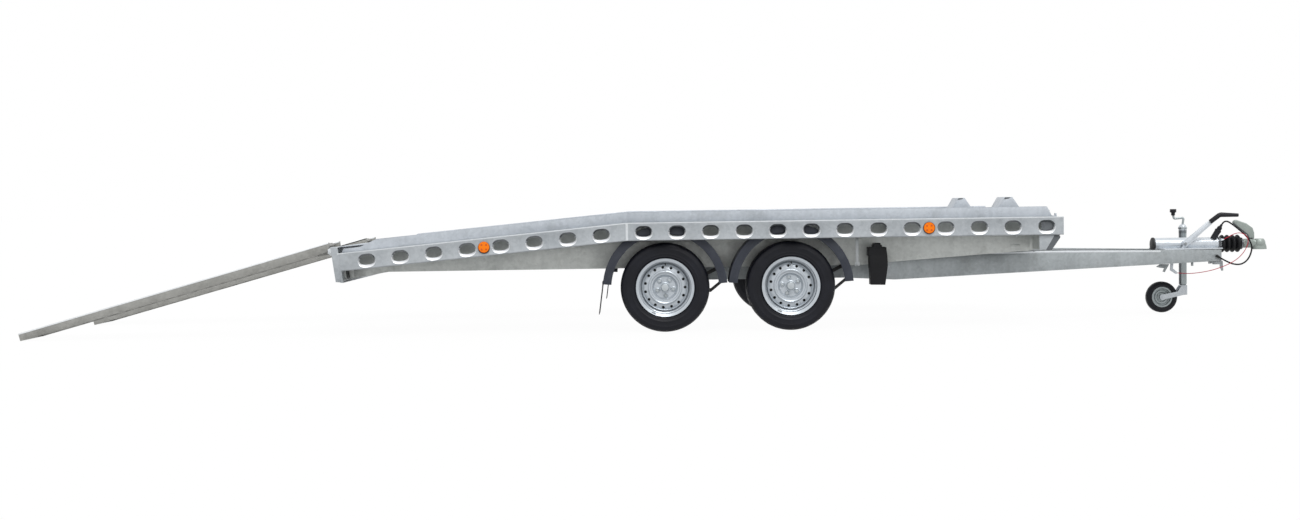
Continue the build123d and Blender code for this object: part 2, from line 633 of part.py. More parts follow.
# ---------------------------------------------------------------- overrun coupling
def overrun_housing():
    """Cast housing on a flanged base across the drawbar beams."""
    barrel = rod_x(0, HOUSING_Z, HOUSING_R, HOUSING_REAR, HOUSING_FRONT)
    cap = rod_x(0, HOUSING_Z, HOUSING_R - 6, HOUSING_REAR - 12, HOUSING_REAR)
    top = drawbar_top(HOUSING_REAR)
    foot_rear = HOUSING_REAR + 23
    y_rear = drawbar_face_y(foot_rear) - 8
    y_front = drawbar_face_y(DRAWBAR_NOSE) - 4
    foot_front = HOUSING_FRONT - 4
    base = [(foot_rear, -y_rear), (foot_rear, y_rear), (foot_front, y_front), (foot_front, -y_front)]
    foot = plan_prism(base, top, top + 8)
    web = box(foot_rear + 5, HOUSING_FRONT - 10, -38, 38, top, HOUSING_Z)
    bore = rod_x(0, HOUSING_Z, DRAW_TUBE_R + SEAT_GAP, HOUSING_REAR + 30, HOUSING_FRONT + 1)
    lever_x = LEVER_PIVOT[0]
    lever_slot = box(lever_x - 103, lever_x + 27, LEVER_Y - 8, LEVER_Y + 8, top - 1, top + 9)
    pivot_boss = rod_y(LEVER_PIVOT[0], LEVER_PIVOT[1], 20, LEVER_Y + 12, -30)
    eye_arm = box(HOUSING_FRONT - 14, HOUSING_FRONT - 3, -66, -30, 530, 546)
    underside = box(HOUSING_REAR - 20, HOUSING_FRONT + 5, -60, 60, top - 40, top)
    eye = link(BREAKAWAY_ROUTE[-1], step_on(BREAKAWAY_ROUTE, 14), 5)
    solid = barrel.fuse(cap, web, foot, pivot_boss, eye_arm, eye)
    return solid.cut(underside, bore, lever_slot)


def bellows():
    """Rubber bellows with four folds."""
    start, end = HOUSING_FRONT + SEAT_GAP, BELLOWS_FRONT
    pitch = (end - start) / 4.0
    points = [(start, 40.0)]
    for i in range(4):
        a = start + i * pitch
        points += [(a + 0.2 * pitch, 44), (a + 0.38 * pitch, BELLOWS_R - 2)]
        points += [(a + 0.5 * pitch, BELLOWS_R), (a + 0.62 * pitch, BELLOWS_R - 2)]
        points += [(a + 0.8 * pitch, 44)]
    points += [(end, 40.0), (end, DRAW_TUBE_R + 0.3), (start, DRAW_TUBE_R + 0.3)]
    face = make_face(Polyline(*[(x, r, 0) for x, r in points], close=True))
    return Pos(0, 0, HOUSING_Z) * revolve(face, axis=Axis.X, revolution_arc=360)


def coupling_head():
    """Cast ball coupling head with its socket open below, and the draw tube behind it."""
    z = HOUSING_Z
    neck = rod_x(0, z, COUPLING_NECK_R, BELLOWS_FRONT + SEAT_GAP, BALL_X - 20)
    dome = Pos(BALL_X, 0, z) * Sphere(46)
    lip = z - SOCKET_LIP
    bulge = ((NOSE - BALL_X) / 46.0, 0.94, (SOCKET_LIP + 32) / 46.0)
    nose = Pos(BALL_X, 0, lip) * scale(Sphere(46), by=bulge)
    skirt = post(BALL_X, 0, BALL_R + SOCKET_WALL, lip, z)
    head = neck + (dome & box(BALL_X - 60, BALL_X + 60, -46, 46, lip, z + 32)) + nose + skirt
    socket = Pos(BALL_X, 0, z - 10) * Sphere(BALL_R) + post(BALL_X, 0, BALL_R, z - 60, z - 10)
    head = head - socket - box(BALL_X - 200, BALL_X + 200, -80, 80, z - 140, lip)
    tube = rod_x(0, z, DRAW_TUBE_R, HOUSING_REAR + 40, BELLOWS_FRONT + 2)
    return head + tube


def coupling_handle():
    """Lifting handle of the coupling, reaching back over the bellows."""
    seat = HOUSING_Z + COUPLING_NECK_R + SEAT_GAP
    outline = [(3834, seat), (3872, seat), (3872, 583), (3860, 619), (3816, 652), (3743, 679)]
    outline += [(3724, 675), (3716, 660), (3727, 644), (3783, 600), (3823, 568)]
    return side_prism(outline, -17, 17)


LEVER_Y = -75.0
LEVER_PIVOT = (3348.0, 512.0)


def handbrake_lever():
    """Flat lever on the housing's right side, with its lower arm to the brake rod."""
    y0, y1 = LEVER_Y - 4, LEVER_Y + 4
    arm = [(3335, 500), (3362, 496), (3545, 655), (3529, 677), (3510, 671), (3335, 528)]
    lower = [(3335, 500), (3362, 496), (3272, 385), (3262, 372), (3259, 335), (3290, 309)]
    lower += [(3290, 297), (3280, 295), (3238, 322), (3242, 378), (3254, 398)]
    pivot = rod_y(LEVER_PIVOT[0], LEVER_PIVOT[1], 12, LEVER_Y - 14, LEVER_Y + 12 - SEAT_GAP)
    return side_prism(arm, y0, y1) + side_prism(lower, y0, y1) + pivot


def handbrake_grip():
    """Moulded grip, bent forward to level."""
    points = [(3531, LEVER_Y, 668), (3600, LEVER_Y, 719), (3740, LEVER_Y, 714)]
    path = FilletPolyline(*points, radius=40)
    plane = Plane(origin=path @ 0, z_dir=path % 0)
    return sweep(plane * Circle(17), path=path) - handbrake_lever()


def brake_rod():
    """Long rod from the hand lever's arm back to the front axle."""
    return rod_x(LEVER_Y, 396, 5, AXLE_X["front"] + ARM_REACH + 44, 3249.4)


def axle_bracket():
    """Upright anchor on the front axle for the brake rod."""
    x = AXLE_X["front"] + ARM_REACH
    top = AXLE_BOTTOM + AXLE_TUBE
    return box(x + 36, x + 44, LEVER_Y - 30, LEVER_Y + 30, top, top + 75)


# ---------------------------------------------------------------- plug and cords
PLUG_START = (3573.0, -30.0, 556.0)
PLUG_END = (3628.0, -30.0, 645.0)
LEAD_R = 5.75
LEAD_ROUTE = [
    PLUG_END,
    (3641, -30, 666.0),
    (3668, -33, 672),
    (3702, -41, 648),
    (3744, -51, 612),
    (3796, -60, 564),
    (3828, -68, 514),
    (3833, -74, 462),
    (3806, -78, 395),
    (3757, -81, 358),
    (3700, -81, 358),
    (3646, -84, 380),
    (3595, -95, 408),
]
BREAKAWAY_R = 2.5
BREAKAWAY_ROUTE = [
    (3290.5, -75, 303),
    (3336, -77, 298),
    (3390, -82, 297),
    (3462, -90, 305),
    (3526, -94, 317),
    (3588, -96, 335),
    (3652, -98, 360),
    (3713, -98, 394),
    (3763, -95, 441),
    (3795, -92, 497),
    (3801, -88, 540),
    (3780, -85, 573),
    (3743, -80, 588),
    (3704, -74, 580),
    (3668, -68, 560),
    (3634, -62, 541),
]


def plug_station(share):
    """A point on the parked plug's axis."""
    return tuple(a + (b - a) * share for a, b in zip(PLUG_START, PLUG_END))


def plug_holder():
    """Parking socket for the plug, seated on the housing's barrel."""
    barrel = rod_x(0, HOUSING_Z, HOUSING_R, HOUSING_REAR, HOUSING_FRONT)
    return link(plug_station(-0.12), plug_station(0.45), 21) - barrel


def plug():
    """Seven-pin plug, parked in its holder, with its strain relief."""
    body = link(plug_station(0.45), plug_station(0.85), 18)
    return body + link(plug_station(0.85), plug_station(1.0), 9)


def step_on(route, distance):
    """The point that lies beyond a route's last point, straight on."""
    a, b = Vector(*route[-2]), Vector(*route[-1])
    return tuple(b + (b - a).normalized() * distance)


def tube_along(points, radius):
    """A round tube of straight runs joined by tangent arcs, as large as the runs allow."""
    vectors = [Vector(*p) for p in points]
    radii = []
    for a, b, c in zip(vectors, vectors[1:], vectors[2:]):
        turn = (b - a).get_angle(c - b)
        run = min((b - a).length, (c - b).length)
        radii.append(0.45 * run / tan(radians(turn) / 2.0))
    path = FilletPolyline(*points, radius=radii)
    plane = Plane(origin=path @ 0, z_dir=path % 0)
    tube = sweep(plane * Circle(radius), path=path)
    print("length", round(path.length, 1), "radii", [round(r) for r in radii])
    print("volume ratio", round(tube.volume / (pi * radius**2 * path.length), 4))
    return tube


# ---------------------------------------------------------------- jockey wheel
def jockey_clamp():
    """Clamp for the jockey tube, bolted on the left drawbar beam."""
    z0, z1 = 400.0, 462.0
    ring = post(JOCKEY_X, JOCKEY_Y, JOCKEY_TUBE_R + 9, z0, z1)
    xa, xb = JOCKEY_X - 55, JOCKEY_X + 55
    base = [(xa, drawbar_face_y(xa)), (xb, drawbar_face_y(xb)), (xb, drawbar_face_y(xb) + 10)]
    base += [(JOCKEY_X + 34, JOCKEY_Y), (JOCKEY_X - 34, JOCKEY_Y), (xa, drawbar_face_y(xa) + 10)]
    bore = post(JOCKEY_X, JOCKEY_Y, JOCKEY_TUBE_R + SEAT_GAP, z0 - 1, z1 + 1)
    screw = rod_y(JOCKEY_X, 431, 8, JOCKEY_Y + JOCKEY_TUBE_R + 5, JOCKEY_Y + 75)
    handle = rod_x(JOCKEY_Y + 70, 431, 5, JOCKEY_X - 45, JOCKEY_X + 45)
    return plan_prism(base, z0, z1) + ring + screw + handle - bore


def jockey_tube():
    """Outer tube of the jockey wheel with its domed cap."""
    x, y = JOCKEY_X, JOCKEY_Y
    tube = post(x, y, JOCKEY_TUBE_R, JOCKEY_TUBE_BOTTOM, JOCKEY_TUBE_TOP)
    tube = tube - post(x, y, JOCKEY_TUBE_R - 3, JOCKEY_TUBE_BOTTOM - 1, JOCKEY_TUBE_TOP - 5)
    collar = post(x, y, 32, JOCKEY_TUBE_TOP - 12, JOCKEY_TUBE_TOP + 2)
    collar = collar - post(x, y, JOCKEY_TUBE_R - 4, JOCKEY_TUBE_TOP - 20, JOCKEY_TUBE_TOP - 5)
    cap = Pos(x, y, JOCKEY_TUBE_TOP + 12) * Cone(24, 12, 22)
    return tube + collar + cap


def jockey_crank():
    """Cranked handle of the jockey screw, with its turning knob."""
    x, y, z = JOCKEY_X, JOCKEY_Y, JOCKEY_TUBE_TOP
    points = [(x, y, z + 24.2), (x + 8, y, z + 72), (x - 64, y, z + 66), (x - 70, y, z + 92)]
    path = FilletPolyline(*points, radius=10)
    plane = Plane(origin=path @ 0, z_dir=path % 0)
    bar = sweep(plane * Circle(8), path=path)
    knob = post(x - 70, y, 14, z + 90, z + 114) + post(x - 70, y, 23, z + 112, z + 137)
    return bar, knob


def jockey_screw_tube():
    """Inner tube that the screw drives up and down inside the outer tube."""
    x, y = JOCKEY_X, JOCKEY_Y
    r = JOCKEY_TUBE_R - 3 - RUN_CLEARANCE
    tube = post(x, y, r, 200, 560) - post(x, y, r - 3, 205, 561)
    return tube


def jockey_fork():
    """Trailing fork, pivoting under the inner tube, with its axle bolt."""
    x, y = JOCKEY_X, JOCKEY_Y
    wheel_x, wheel_z = x - JOCKEY_TRAIL, JOCKEY_WHEEL_R
    inner = JOCKEY_TYRE_W / 2.0 + 5
    top = box(x - 20, x + 20, y - inner - 4, y + inner + 4, 194, 200 - SEAT_GAP)
    parts = [top]
    for sign in (-1, 1):
        y0, y1 = sorted((y + sign * inner, y + sign * (inner + 4)))
        outline = [(x - 20, 196), (x + 20, 196), (x + 20, 130), (x - 8, 128), (wheel_x, 94)]
        outline += [(wheel_x, 134), (x - 48, 154)]
        parts.append(side_prism(outline, y0, y1))
        parts.append(rod_y(wheel_x, wheel_z, 22, y0, y1))
    web = box(x + 16, x + 20, y - inner, y + inner, 130, 196)
    bolt = rod_y(wheel_x, wheel_z, 8, y - inner - 10, y + inner + 10)
    return top.fuse(*parts[1:], web, bolt)


def jockey_wheel():
    """Solid rubber tyre and pressed rim of the jockey wheel."""
    x, y, z = JOCKEY_X - JOCKEY_TRAIL, JOCKEY_Y, JOCKEY_WHEEL_R
    r, w = JOCKEY_WHEEL_R, JOCKEY_TYRE_W / 2.0
    base = JOCKEY_RIM_R
    band = [(base, w - 4), (base + 16, w), (r - 7, w - 5), (r, w - 16)]
    band += [(a, -b) for a, b in band[::-1]]
    seat = base - SEAT_GAP
    disc = [(8 + RUN_CLEARANCE, -w + 1), (20, -w + 1), (20, -9), (base - 16, -9)]
    disc += [(base - 12, -w + 6), (seat, -w + 6), (seat, w - 6), (base - 12, w - 6)]
    disc += [(base - 16, 9), (20, 9), (20, w - 1)]
    disc += [(8 + RUN_CLEARANCE, w - 1)]
    return spun_y(band, x, y, z), spun_y(disc, x, y, z)


# ---------------------------------------------------------------- ramps
def ramp():
    """Loading ramp: two deepening side rails, treads between them and hook plates."""
    y1 = RAMP_OUTER_Y
    y0 = y1 - RAMP_W
    pieces = []
    for ya, yb in ((y0, y0 + 32), (y1 - 32, y1)):
        outline = [(0, -RAMP_RAIL_H), (0, 0), (RAMP_LENGTH, 0), (RAMP_LENGTH - 6, -30)]
        outline += [(RAMP_LENGTH - 30, -RAMP_HEAD_H)]
        pieces.append(side_prism(outline, ya, yb))
    count = 22
    step = (RAMP_LENGTH - 90) / (count - 1)
    for i in range(count):
        x = 40 + i * step
        tread = box(x - 17, x + 17, y0 + 30, y1 - 30, -18, -2)
        pieces.append(tread - box(x - 14, x + 14, y0 + 20, y1 - 20, -19, -5))
    ramp_body = pieces[0].fuse(*pieces[1:])
    tilt = Rot(0, -degrees(RAMP_SLOPE), 0)
    placed = Pos(RAMP_TOE, 0, 0) * tilt * Pos(0, 0, RAMP_RAIL_H) * ramp_body
    hooks = []
    for y in (y0 + 36, y1 - 44):
        outline = [(BAR_X - 90, BAR_Z + 14), (BAR_X - 30, BAR_Z + 24), (BAR_X, BAR_Z + 24)]
        outline += [(BAR_X + 22, BAR_Z + 16), (BAR_X + 30, BAR_Z - 6), (BAR_X + 22, BAR_Z - 22)]
        outline += [(BAR_X + BAR_R + 1, BAR_Z - 22), (BAR_X + BAR_R + 1, BAR_Z)]
        outline += [(BAR_X - BAR_R - 1, BAR_Z), (BAR_X - BAR_R - 1, BAR_Z - 22)]
        outline += [(BAR_X - 100, BAR_Z - 36)]
        hooks.append(side_prism(outline, y, y + 8) - rod_y(BAR_X, BAR_Z, BAR_R + 1, y - 1, y + 9))
        ya, yb = (y - 6, y) if y < (y0 + y1) / 2 else (y + 8, y + 14)
        hooks.append(box(BAR_X - 90, BAR_X - 50, ya, yb, BAR_Z - 20, BAR_Z + 10))
    return placed.fuse(*hooks)


# ---------------------------------------------------------------- build every node
rail = side_rail()
deck = runway()
edge = kerb()
stop = wheel_stop()
beam = deck_beam()
draw_beam = drawbar_beam()
ramp_left = ramp()
outrigger_stations = (-2285.0, -1840.0, -1395.0, -950.0, -2.0, 1109.0, 1776.0)
outriggers = [outrigger(x) for x in outrigger_stations]
guards = [mudguard(x) for x in AXLE_X.values()]
lamps = side_lamps()

for side, sign in SIDES.items():
    save(f"side_rail_{side}", sided(rail, side))
    save(f"runway_{side}", sided(deck, side))
    save(f"deck_beam_{side}", sided(beam, side))
    save(f"drawbar_beam_{side}", sided(draw_beam, side))
    save(f"mudguards_{side}", *[sided(guard, side) for guard in guards])
    save(f"ramp_{side}", sided(ramp_left, side))
    for place, x in AXLE_X.items():
        save(f"tyre_{place}_{side}", tyre(x, sign))
        save(f"rim_{place}_{side}", rim(x, sign))
        save(f"hub_{place}_{side}", hub(x, sign))

both = ("left", "right")
save("kerbs", *[sided(edge, side) for side in both])
save("side_lamps", *[sided(lamp, side) for side in both for lamp in lamps])
save("chocks", *[sided(chock(), side) for side in both])
save("wheel_stops", *[sided(stop, side) for side in both])
save("outriggers", *[sided(piece, side) for side in both for piece in outriggers])
save("mudflaps", *[sided(mudflap(), side) for side in both])
save("guard_stays", *[sided(guard_stay(x), side) for side in both for x in AXLE_X.values()])
save("chock_holders", *[sided(chock_holder(), side) for side in both])
save("rear_lamps", *[sided(rear_lamp(), side) for side in both])
members = (-2050.0, -1500.0, -950.0, -350.0, 250.0, 850.0, 1450.0, 2000.0)
save("cross_members", *[cross_member(x) for x in members])
save("front_beam", front_beam())
save("rear_plate", rear_plate())
save("number_plate", number_plate())
save("ramp_bar", ramp_bar())
save("axle_front", axle(AXLE_X["front"]), axle_bracket())
save("axle_rear", axle(AXLE_X["rear"]))
save("brake_plates", *[brake_plate(x, s) for x in AXLE_X.values() for s in SIDES.values()])
save("overrun_housing", overrun_housing())
save("bellows", bellows())
save("coupling_head", coupling_head())
save("coupling_handle", coupling_handle())
save("handbrake_lever", handbrake_lever())
save("handbrake_grip", handbrake_grip())
save("brake_rod", brake_rod())
save("plug_holder", plug_holder())
save("plug", plug())
save("lead", tube_along(LEAD_ROUTE, LEAD_R))
save("lead_gland", link(LEAD_ROUTE[-1], step_on(LEAD_ROUTE, 34), 8))
save("breakaway_cable", tube_along(BREAKAWAY_ROUTE, BREAKAWAY_R))
save("jockey_clamp", jockey_clamp())
save("jockey_tube", jockey_tube())
crank, knob = jockey_crank()
save("jockey_crank", crank, knob)
save("jockey_screw_tube", jockey_screw_tube())
save("jockey_fork", jockey_fork())
jockey_band, jockey_disc = jockey_wheel()
save("jockey_tyre", jockey_band)
save("jockey_rim", jockey_disc)
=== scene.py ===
import json
import math
from math import cos, pi, radians, sin

import bmesh
import bpy
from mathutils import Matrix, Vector


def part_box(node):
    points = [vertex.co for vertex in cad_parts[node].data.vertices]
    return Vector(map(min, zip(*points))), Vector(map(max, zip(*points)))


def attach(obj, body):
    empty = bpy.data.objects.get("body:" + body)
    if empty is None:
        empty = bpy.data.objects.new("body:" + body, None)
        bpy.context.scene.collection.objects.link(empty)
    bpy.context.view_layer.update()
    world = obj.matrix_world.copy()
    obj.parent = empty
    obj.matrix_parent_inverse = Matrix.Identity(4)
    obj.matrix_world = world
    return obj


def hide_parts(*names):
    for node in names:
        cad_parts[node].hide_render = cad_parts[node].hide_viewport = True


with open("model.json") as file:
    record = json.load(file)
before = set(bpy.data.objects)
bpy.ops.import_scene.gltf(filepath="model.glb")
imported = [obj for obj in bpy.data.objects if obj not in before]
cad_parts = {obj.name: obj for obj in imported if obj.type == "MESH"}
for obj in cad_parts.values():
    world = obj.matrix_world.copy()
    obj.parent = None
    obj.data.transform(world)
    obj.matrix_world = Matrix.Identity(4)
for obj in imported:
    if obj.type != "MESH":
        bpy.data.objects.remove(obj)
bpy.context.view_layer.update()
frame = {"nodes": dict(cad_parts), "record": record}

cad = frame["nodes"]
record = frame["record"]

# ------------------------
# Studio: the trailer stands on a plain pale floor in soft, even light, seen
# broadside from its right-hand side, a little above the level of its deck.
bpy.ops.object.select_all(action="DESELECT")
bpy.ops.object.camera_add(location=(-0.113, -12.0, 0.857))
camera = bpy.context.object
camera.name = "camera"
camera.rotation_euler = (radians(90.0 - 1.943), radians(0.85), 0.0)
camera.data.lens = 45.72
camera.data.sensor_width = 36.0
camera.data.clip_end = 250.0
bpy.context.scene.camera = camera

bpy.context.scene.view_settings.view_transform = "Standard"


def add_node(tree, kind, feeds=None, **settings):
    """Add a shader node, set it and feed its sockets with numbers or other sockets."""
    made = tree.nodes.new("ShaderNode" + kind)
    for key, value in settings.items():
        setattr(made, key, value)
    for key, value in (feeds or {}).items():
        if isinstance(value, bpy.types.NodeSocket):
            tree.links.new(value, made.inputs[key])
        else:
            made.inputs[key].default_value = value
    return made


def sums(tree, operation, first, second, third=0.5):
    """One sum on the values of a pattern."""
    feeds = {0: first, 1: second, 2: third}
    return add_node(tree, "Math", feeds, operation=operation).outputs[0]


def seen_directly(tree):
    """1 where the camera, or metal or glass, looks straight at the backdrop."""
    path = add_node(tree, "LightPath").outputs
    mirrored = sums(tree, "MAXIMUM", path["Is Camera Ray"], path["Is Glossy Ray"])
    return sums(tree, "MAXIMUM", mirrored, path["Is Transmission Ray"])


world = bpy.data.worlds.new("pale_room")
bpy.context.scene.world = world
world.use_nodes = True
room = world.node_tree
room.nodes.clear()
lit = add_node(room, "MapRange", {"Value": seen_directly(room), "To Min": 0.95, "To Max": 1.0})
sky = add_node(room, "Background", {"Color": (1.0, 1.0, 1.0, 1.0), "Strength": lit.outputs[0]})
add_node(room, "OutputWorld", {"Surface": sky.outputs[0]})

bpy.ops.object.light_add(type="SUN", location=(0.0, -4.0, 9.0), rotation=(radians(36.0), 0.0, radians(16.0)))
key_light = bpy.context.object
key_light.name = "soft_key_light"
key_light.data.energy = 1.6
key_light.data.angle = radians(34.0)

bpy.ops.mesh.primitive_plane_add(size=400.0, location=(0.0, 0.0, 0.0))
floor = bpy.context.object
floor.name = "studio_floor"
paint = bpy.data.materials.new("pale_floor")
paint.use_nodes = True
tree = paint.node_tree
tree.nodes.clear()
matt = add_node(tree, "BsdfDiffuse", {"Color": (0.36, 0.36, 0.36, 1.0)})
glow = add_node(tree, "Emission", {"Color": (1.0, 1.0, 1.0, 1.0), "Strength": 1.04})
share = sums(tree, "MULTIPLY", seen_directly(tree), 0.93)
both = add_node(tree, "MixShader", {0: share, 1: matt.outputs[0], 2: glow.outputs[0]})
add_node(tree, "OutputMaterial", {"Surface": both.outputs[0]})
floor.data.materials.append(paint)


# ------------------------
# Seven-pin lead: a black rubber-sheathed cable 11.5 mm thick. It leaves the
# parked plug, loops over and in front of the bellows and goes back under the
# drawbar's nose, where a tapered rubber grommet takes it in.
def tone(red, green, blue):
    """A colour given as it looks, 0 to 255, in the numbers that a shader takes."""
    parts = [v / 255.0 for v in (red, green, blue)]
    return tuple(v / 12.92 if v <= 0.04045 else ((v + 0.055) / 1.055) ** 2.4 for v in parts) + (1.0,)


def new_group(name, numbers, tones):
    """Start a shared effect: a node group with named inputs and three outputs."""
    group = bpy.data.node_groups.new(name, "ShaderNodeTree")
    sockets = group.interface
    for label in tones:
        sockets.new_socket(label, in_out="INPUT", socket_type="NodeSocketColor")
    for label, value in numbers.items():
        sockets.new_socket(label, in_out="INPUT", socket_type="NodeSocketFloat").default_value = value
    for label, kind in (("Colour", "Color"), ("Roughness", "Float"), ("Height", "Float")):
        sockets.new_socket(label, in_out="OUTPUT", socket_type="NodeSocket" + kind)
    return group, group.nodes.new("NodeGroupInput").outputs, group.nodes.new("NodeGroupOutput").inputs


def noise(tree, where, scale, detail=2.0, roughness=0.5):
    """A soft random pattern."""
    feeds = {"Vector": where, "Scale": scale, "Detail": detail, "Roughness": roughness}
    return add_node(tree, "TexNoise", feeds).outputs[0]


def spread_of(tree, value, low, high):
    """Stretch a pattern so that low becomes 0 and high becomes 1."""
    feeds = {"Value": value, "From Min": low, "From Max": high}
    return add_node(tree, "MapRange", feeds).outputs[0]


def mixed(tree, amount, first, second):
    """Two colours mixed."""
    return add_node(tree, "Mix", {0: amount, 6: first, 7: second}, data_type="RGBA").outputs[2]


# rubber and plastic: fine grain, dust in broad patches and dull, uneven sheen
numbers = {"Grain size": 900.0, "Dust": 0.25, "Roughness": 0.62, "Shift": 0.0}
skin, given, wanted = new_group("rubber_skin", numbers, ("Rubber", "Dust tone"))
where = add_node(skin, "TexCoord").outputs["Object"]
where = add_node(skin, "VectorMath", {0: where, 1: given["Shift"]}, operation="ADD").outputs[0]
grain = noise(skin, where, given["Grain size"])
patch = spread_of(skin, noise(skin, where, 9.0, 5.0, 0.62), 0.42, 0.7)
amount = sums(skin, "MULTIPLY", patch, given["Dust"])
scuffs = spread_of(skin, noise(skin, where, 70.0, 6.0, 0.75), 0.6, 0.8)
amount = sums(skin, "MULTIPLY_ADD", scuffs, sums(skin, "MULTIPLY", given["Dust"], 0.5), amount)
skin.links.new(mixed(skin, amount, given["Rubber"], given["Dust tone"]), wanted["Colour"])
skin.links.new(sums(skin, "MULTIPLY_ADD", amount, 0.5, given["Roughness"]), wanted["Roughness"])
skin.links.new(grain, wanted["Height"])


def new_finish(name, group, feeds, metal=0.0, bump=0.1, **uniform):
    """A material whose colour, roughness and bump come from one shared effect."""
    finish = bpy.data.materials.new(name)
    finish.use_nodes = True
    tree = finish.node_tree
    tree.nodes.clear()
    effect = add_node(tree, "Group", node_tree=group)
    for label, value in feeds.items():
        effect.inputs[label].default_value = value
    feeds = {"Strength": bump, "Distance": 0.002, "Height": effect.outputs["Height"]}
    dents = add_node(tree, "Bump", feeds).outputs[0]
    feeds = {"Base Color": effect.outputs["Colour"], "Roughness": effect.outputs["Roughness"]}
    shader = add_node(tree, "BsdfPrincipled", {**feeds, "Metallic": metal, "Normal": dents})
    for label, value in uniform.items():
        shader.inputs[label.replace("_", " ")].default_value = value
    add_node(tree, "OutputMaterial", {"Surface": shader.outputs[0]})
    return finish


def rubbery(name, colour, dust_tone=(88, 86, 82), dust=0.25, dull=0.6, bump=0.1, shift=0.0, **uniform):
    """A rubber or plastic finish."""
    feeds = {"Rubber": tone(*colour), "Dust tone": tone(*dust_tone), "Dust": dust, "Roughness": dull}
    return new_finish(name, skin, {**feeds, "Shift": shift}, bump=bump, **uniform)


def started(primitive, **settings):
    """A piece's first form: a primitive, added with nothing else selected."""
    bpy.ops.object.select_all(action="DESELECT")
    primitive(**settings)
    return bpy.context.object


def alone(piece):
    """Select one piece and nothing else."""
    bpy.ops.object.select_all(action="DESELECT")
    piece.select_set(True)
    bpy.context.view_layer.objects.active = piece


def edit_all(piece):
    """Open one piece for editing with all of it selected."""
    alone(piece)
    bpy.ops.object.mode_set(mode="EDIT")
    bpy.ops.mesh.select_all(action="SELECT")


def face_outward():
    """Turn all faces of the open piece outwards and close it."""
    bpy.ops.mesh.select_all(action="SELECT")
    bpy.ops.mesh.normals_make_consistent(inside=False)
    bpy.ops.object.mode_set(mode="OBJECT")


def settle(piece, name, finish, body="chassis", angle=30.0):
    """Finish a modelled piece: fix its place, shading and coat, and what it moves with."""
    alone(piece)
    bpy.ops.object.transform_apply(location=True, rotation=True, scale=True)
    bpy.ops.object.shade_smooth_by_angle(angle=radians(angle))
    piece.name = name
    piece.data.materials.clear()
    piece.data.materials.append(finish)
    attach(piece, body)
    return piece


def turned(profile, centre, axis, steps):
    """A round piece spun from its closed profile of (radius, distance along the axis)."""
    circle = bpy.ops.mesh.primitive_circle_add
    piece = started(circle, vertices=len(profile), radius=0.01, fill_type="NOTHING")
    for corner, (r, along) in zip(piece.data.vertices, profile):
        corner.co = (r, 0.0, along)
    edit_all(piece)
    bpy.ops.mesh.spin(steps=steps, angle=2.0 * pi, center=(0.0, 0.0, 0.0), axis=(0.0, 0.0, 1.0))
    bpy.ops.mesh.select_all(action="SELECT")
    bpy.ops.mesh.remove_doubles(threshold=0.00001)
    bpy.ops.mesh.delete_loose(use_verts=True, use_edges=True, use_faces=False)
    face_outward()
    piece.location = centre
    piece.rotation_euler = Vector(axis).to_track_quat("Z", "Y").to_euler()
    return piece


cable_rubber = rubbery("cable_rubber", (9, 10, 12), (60, 60, 60), 0.15, 0.42, 0.15, Specular_IOR_Level=0.25)
black_plastic = rubbery("black_plastic", (13, 15, 22), (54, 56, 62), 0.2, 0.42, 0.12, 2.0,
                        Specular_IOR_Level=0.3)

lead_points = (
    (4.0277, -0.03, 0.645), (4.0407, -0.03, 0.666), (4.0677, -0.033, 0.672), (4.1017, -0.041, 0.648),
    (4.1437, -0.051, 0.612), (4.1957, -0.06, 0.564), (4.2277, -0.068, 0.514), (4.2327, -0.074, 0.462),
    (4.2057, -0.078, 0.395), (4.1567, -0.081, 0.358), (4.0997, -0.081, 0.358), (4.0457, -0.084, 0.38),
    (3.9947, -0.095, 0.408),
)


def cord_along(name, points, thickness, finish):
    """A round cord as one smooth curve through the air."""
    curve = bpy.data.curves.new(name, "CURVE")
    curve.dimensions = "3D"
    line = curve.splines.new("NURBS")
    line.points.add(len(points) - 1)
    for point, place in zip(line.points, points):
        point.co = (*place, 1.0)
    line.order_u = 3
    line.use_endpoint_u = True
    line.resolution_u = 10
    curve.bevel_depth = thickness / 2.0
    curve.bevel_resolution = 5
    curve.use_fill_caps = True
    curve.materials.append(finish)
    cord = bpy.data.objects.new(name, curve)
    bpy.context.scene.collection.objects.link(cord)
    return cord


lead = cord_along("seven_pin_lead", lead_points, 0.0115, cable_rubber)
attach(lead, "chassis")
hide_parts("lead")

# parked plug: ribbed grip, waist and tapered strain relief along one axis
holder_line = (0.5257, 0.0, 0.8507)
grip = [(0.0, -0.06), (0.0175, -0.06), (0.0175, -0.052), (0.016, -0.05), (0.0178, -0.047)]
for i in range(3):
    grip += [(0.0178, -0.044 + 0.008 * i), (0.0162, -0.0425 + 0.008 * i), (0.0178, -0.041 + 0.008 * i)]
grip += [(0.015, -0.019), (0.0105, -0.015), (0.0085, 0.0), (0.006, 0.001), (0.0, 0.001)]
plug = turned(grip, lead_points[0], holder_line, 28)
settle(plug, "plug_body", black_plastic)
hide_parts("plug")

gland = turned([(0.0, 0.0), (0.0062, 0.0), (0.0075, 0.01), (0.0105, 0.026), (0.0105, 0.034), (0.0, 0.034)],
               lead_points[-1], Vector(lead_points[-1]) - Vector(lead_points[-2]), 24)
settle(gland, "lead_grommet", cable_rubber)
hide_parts("lead_gland")

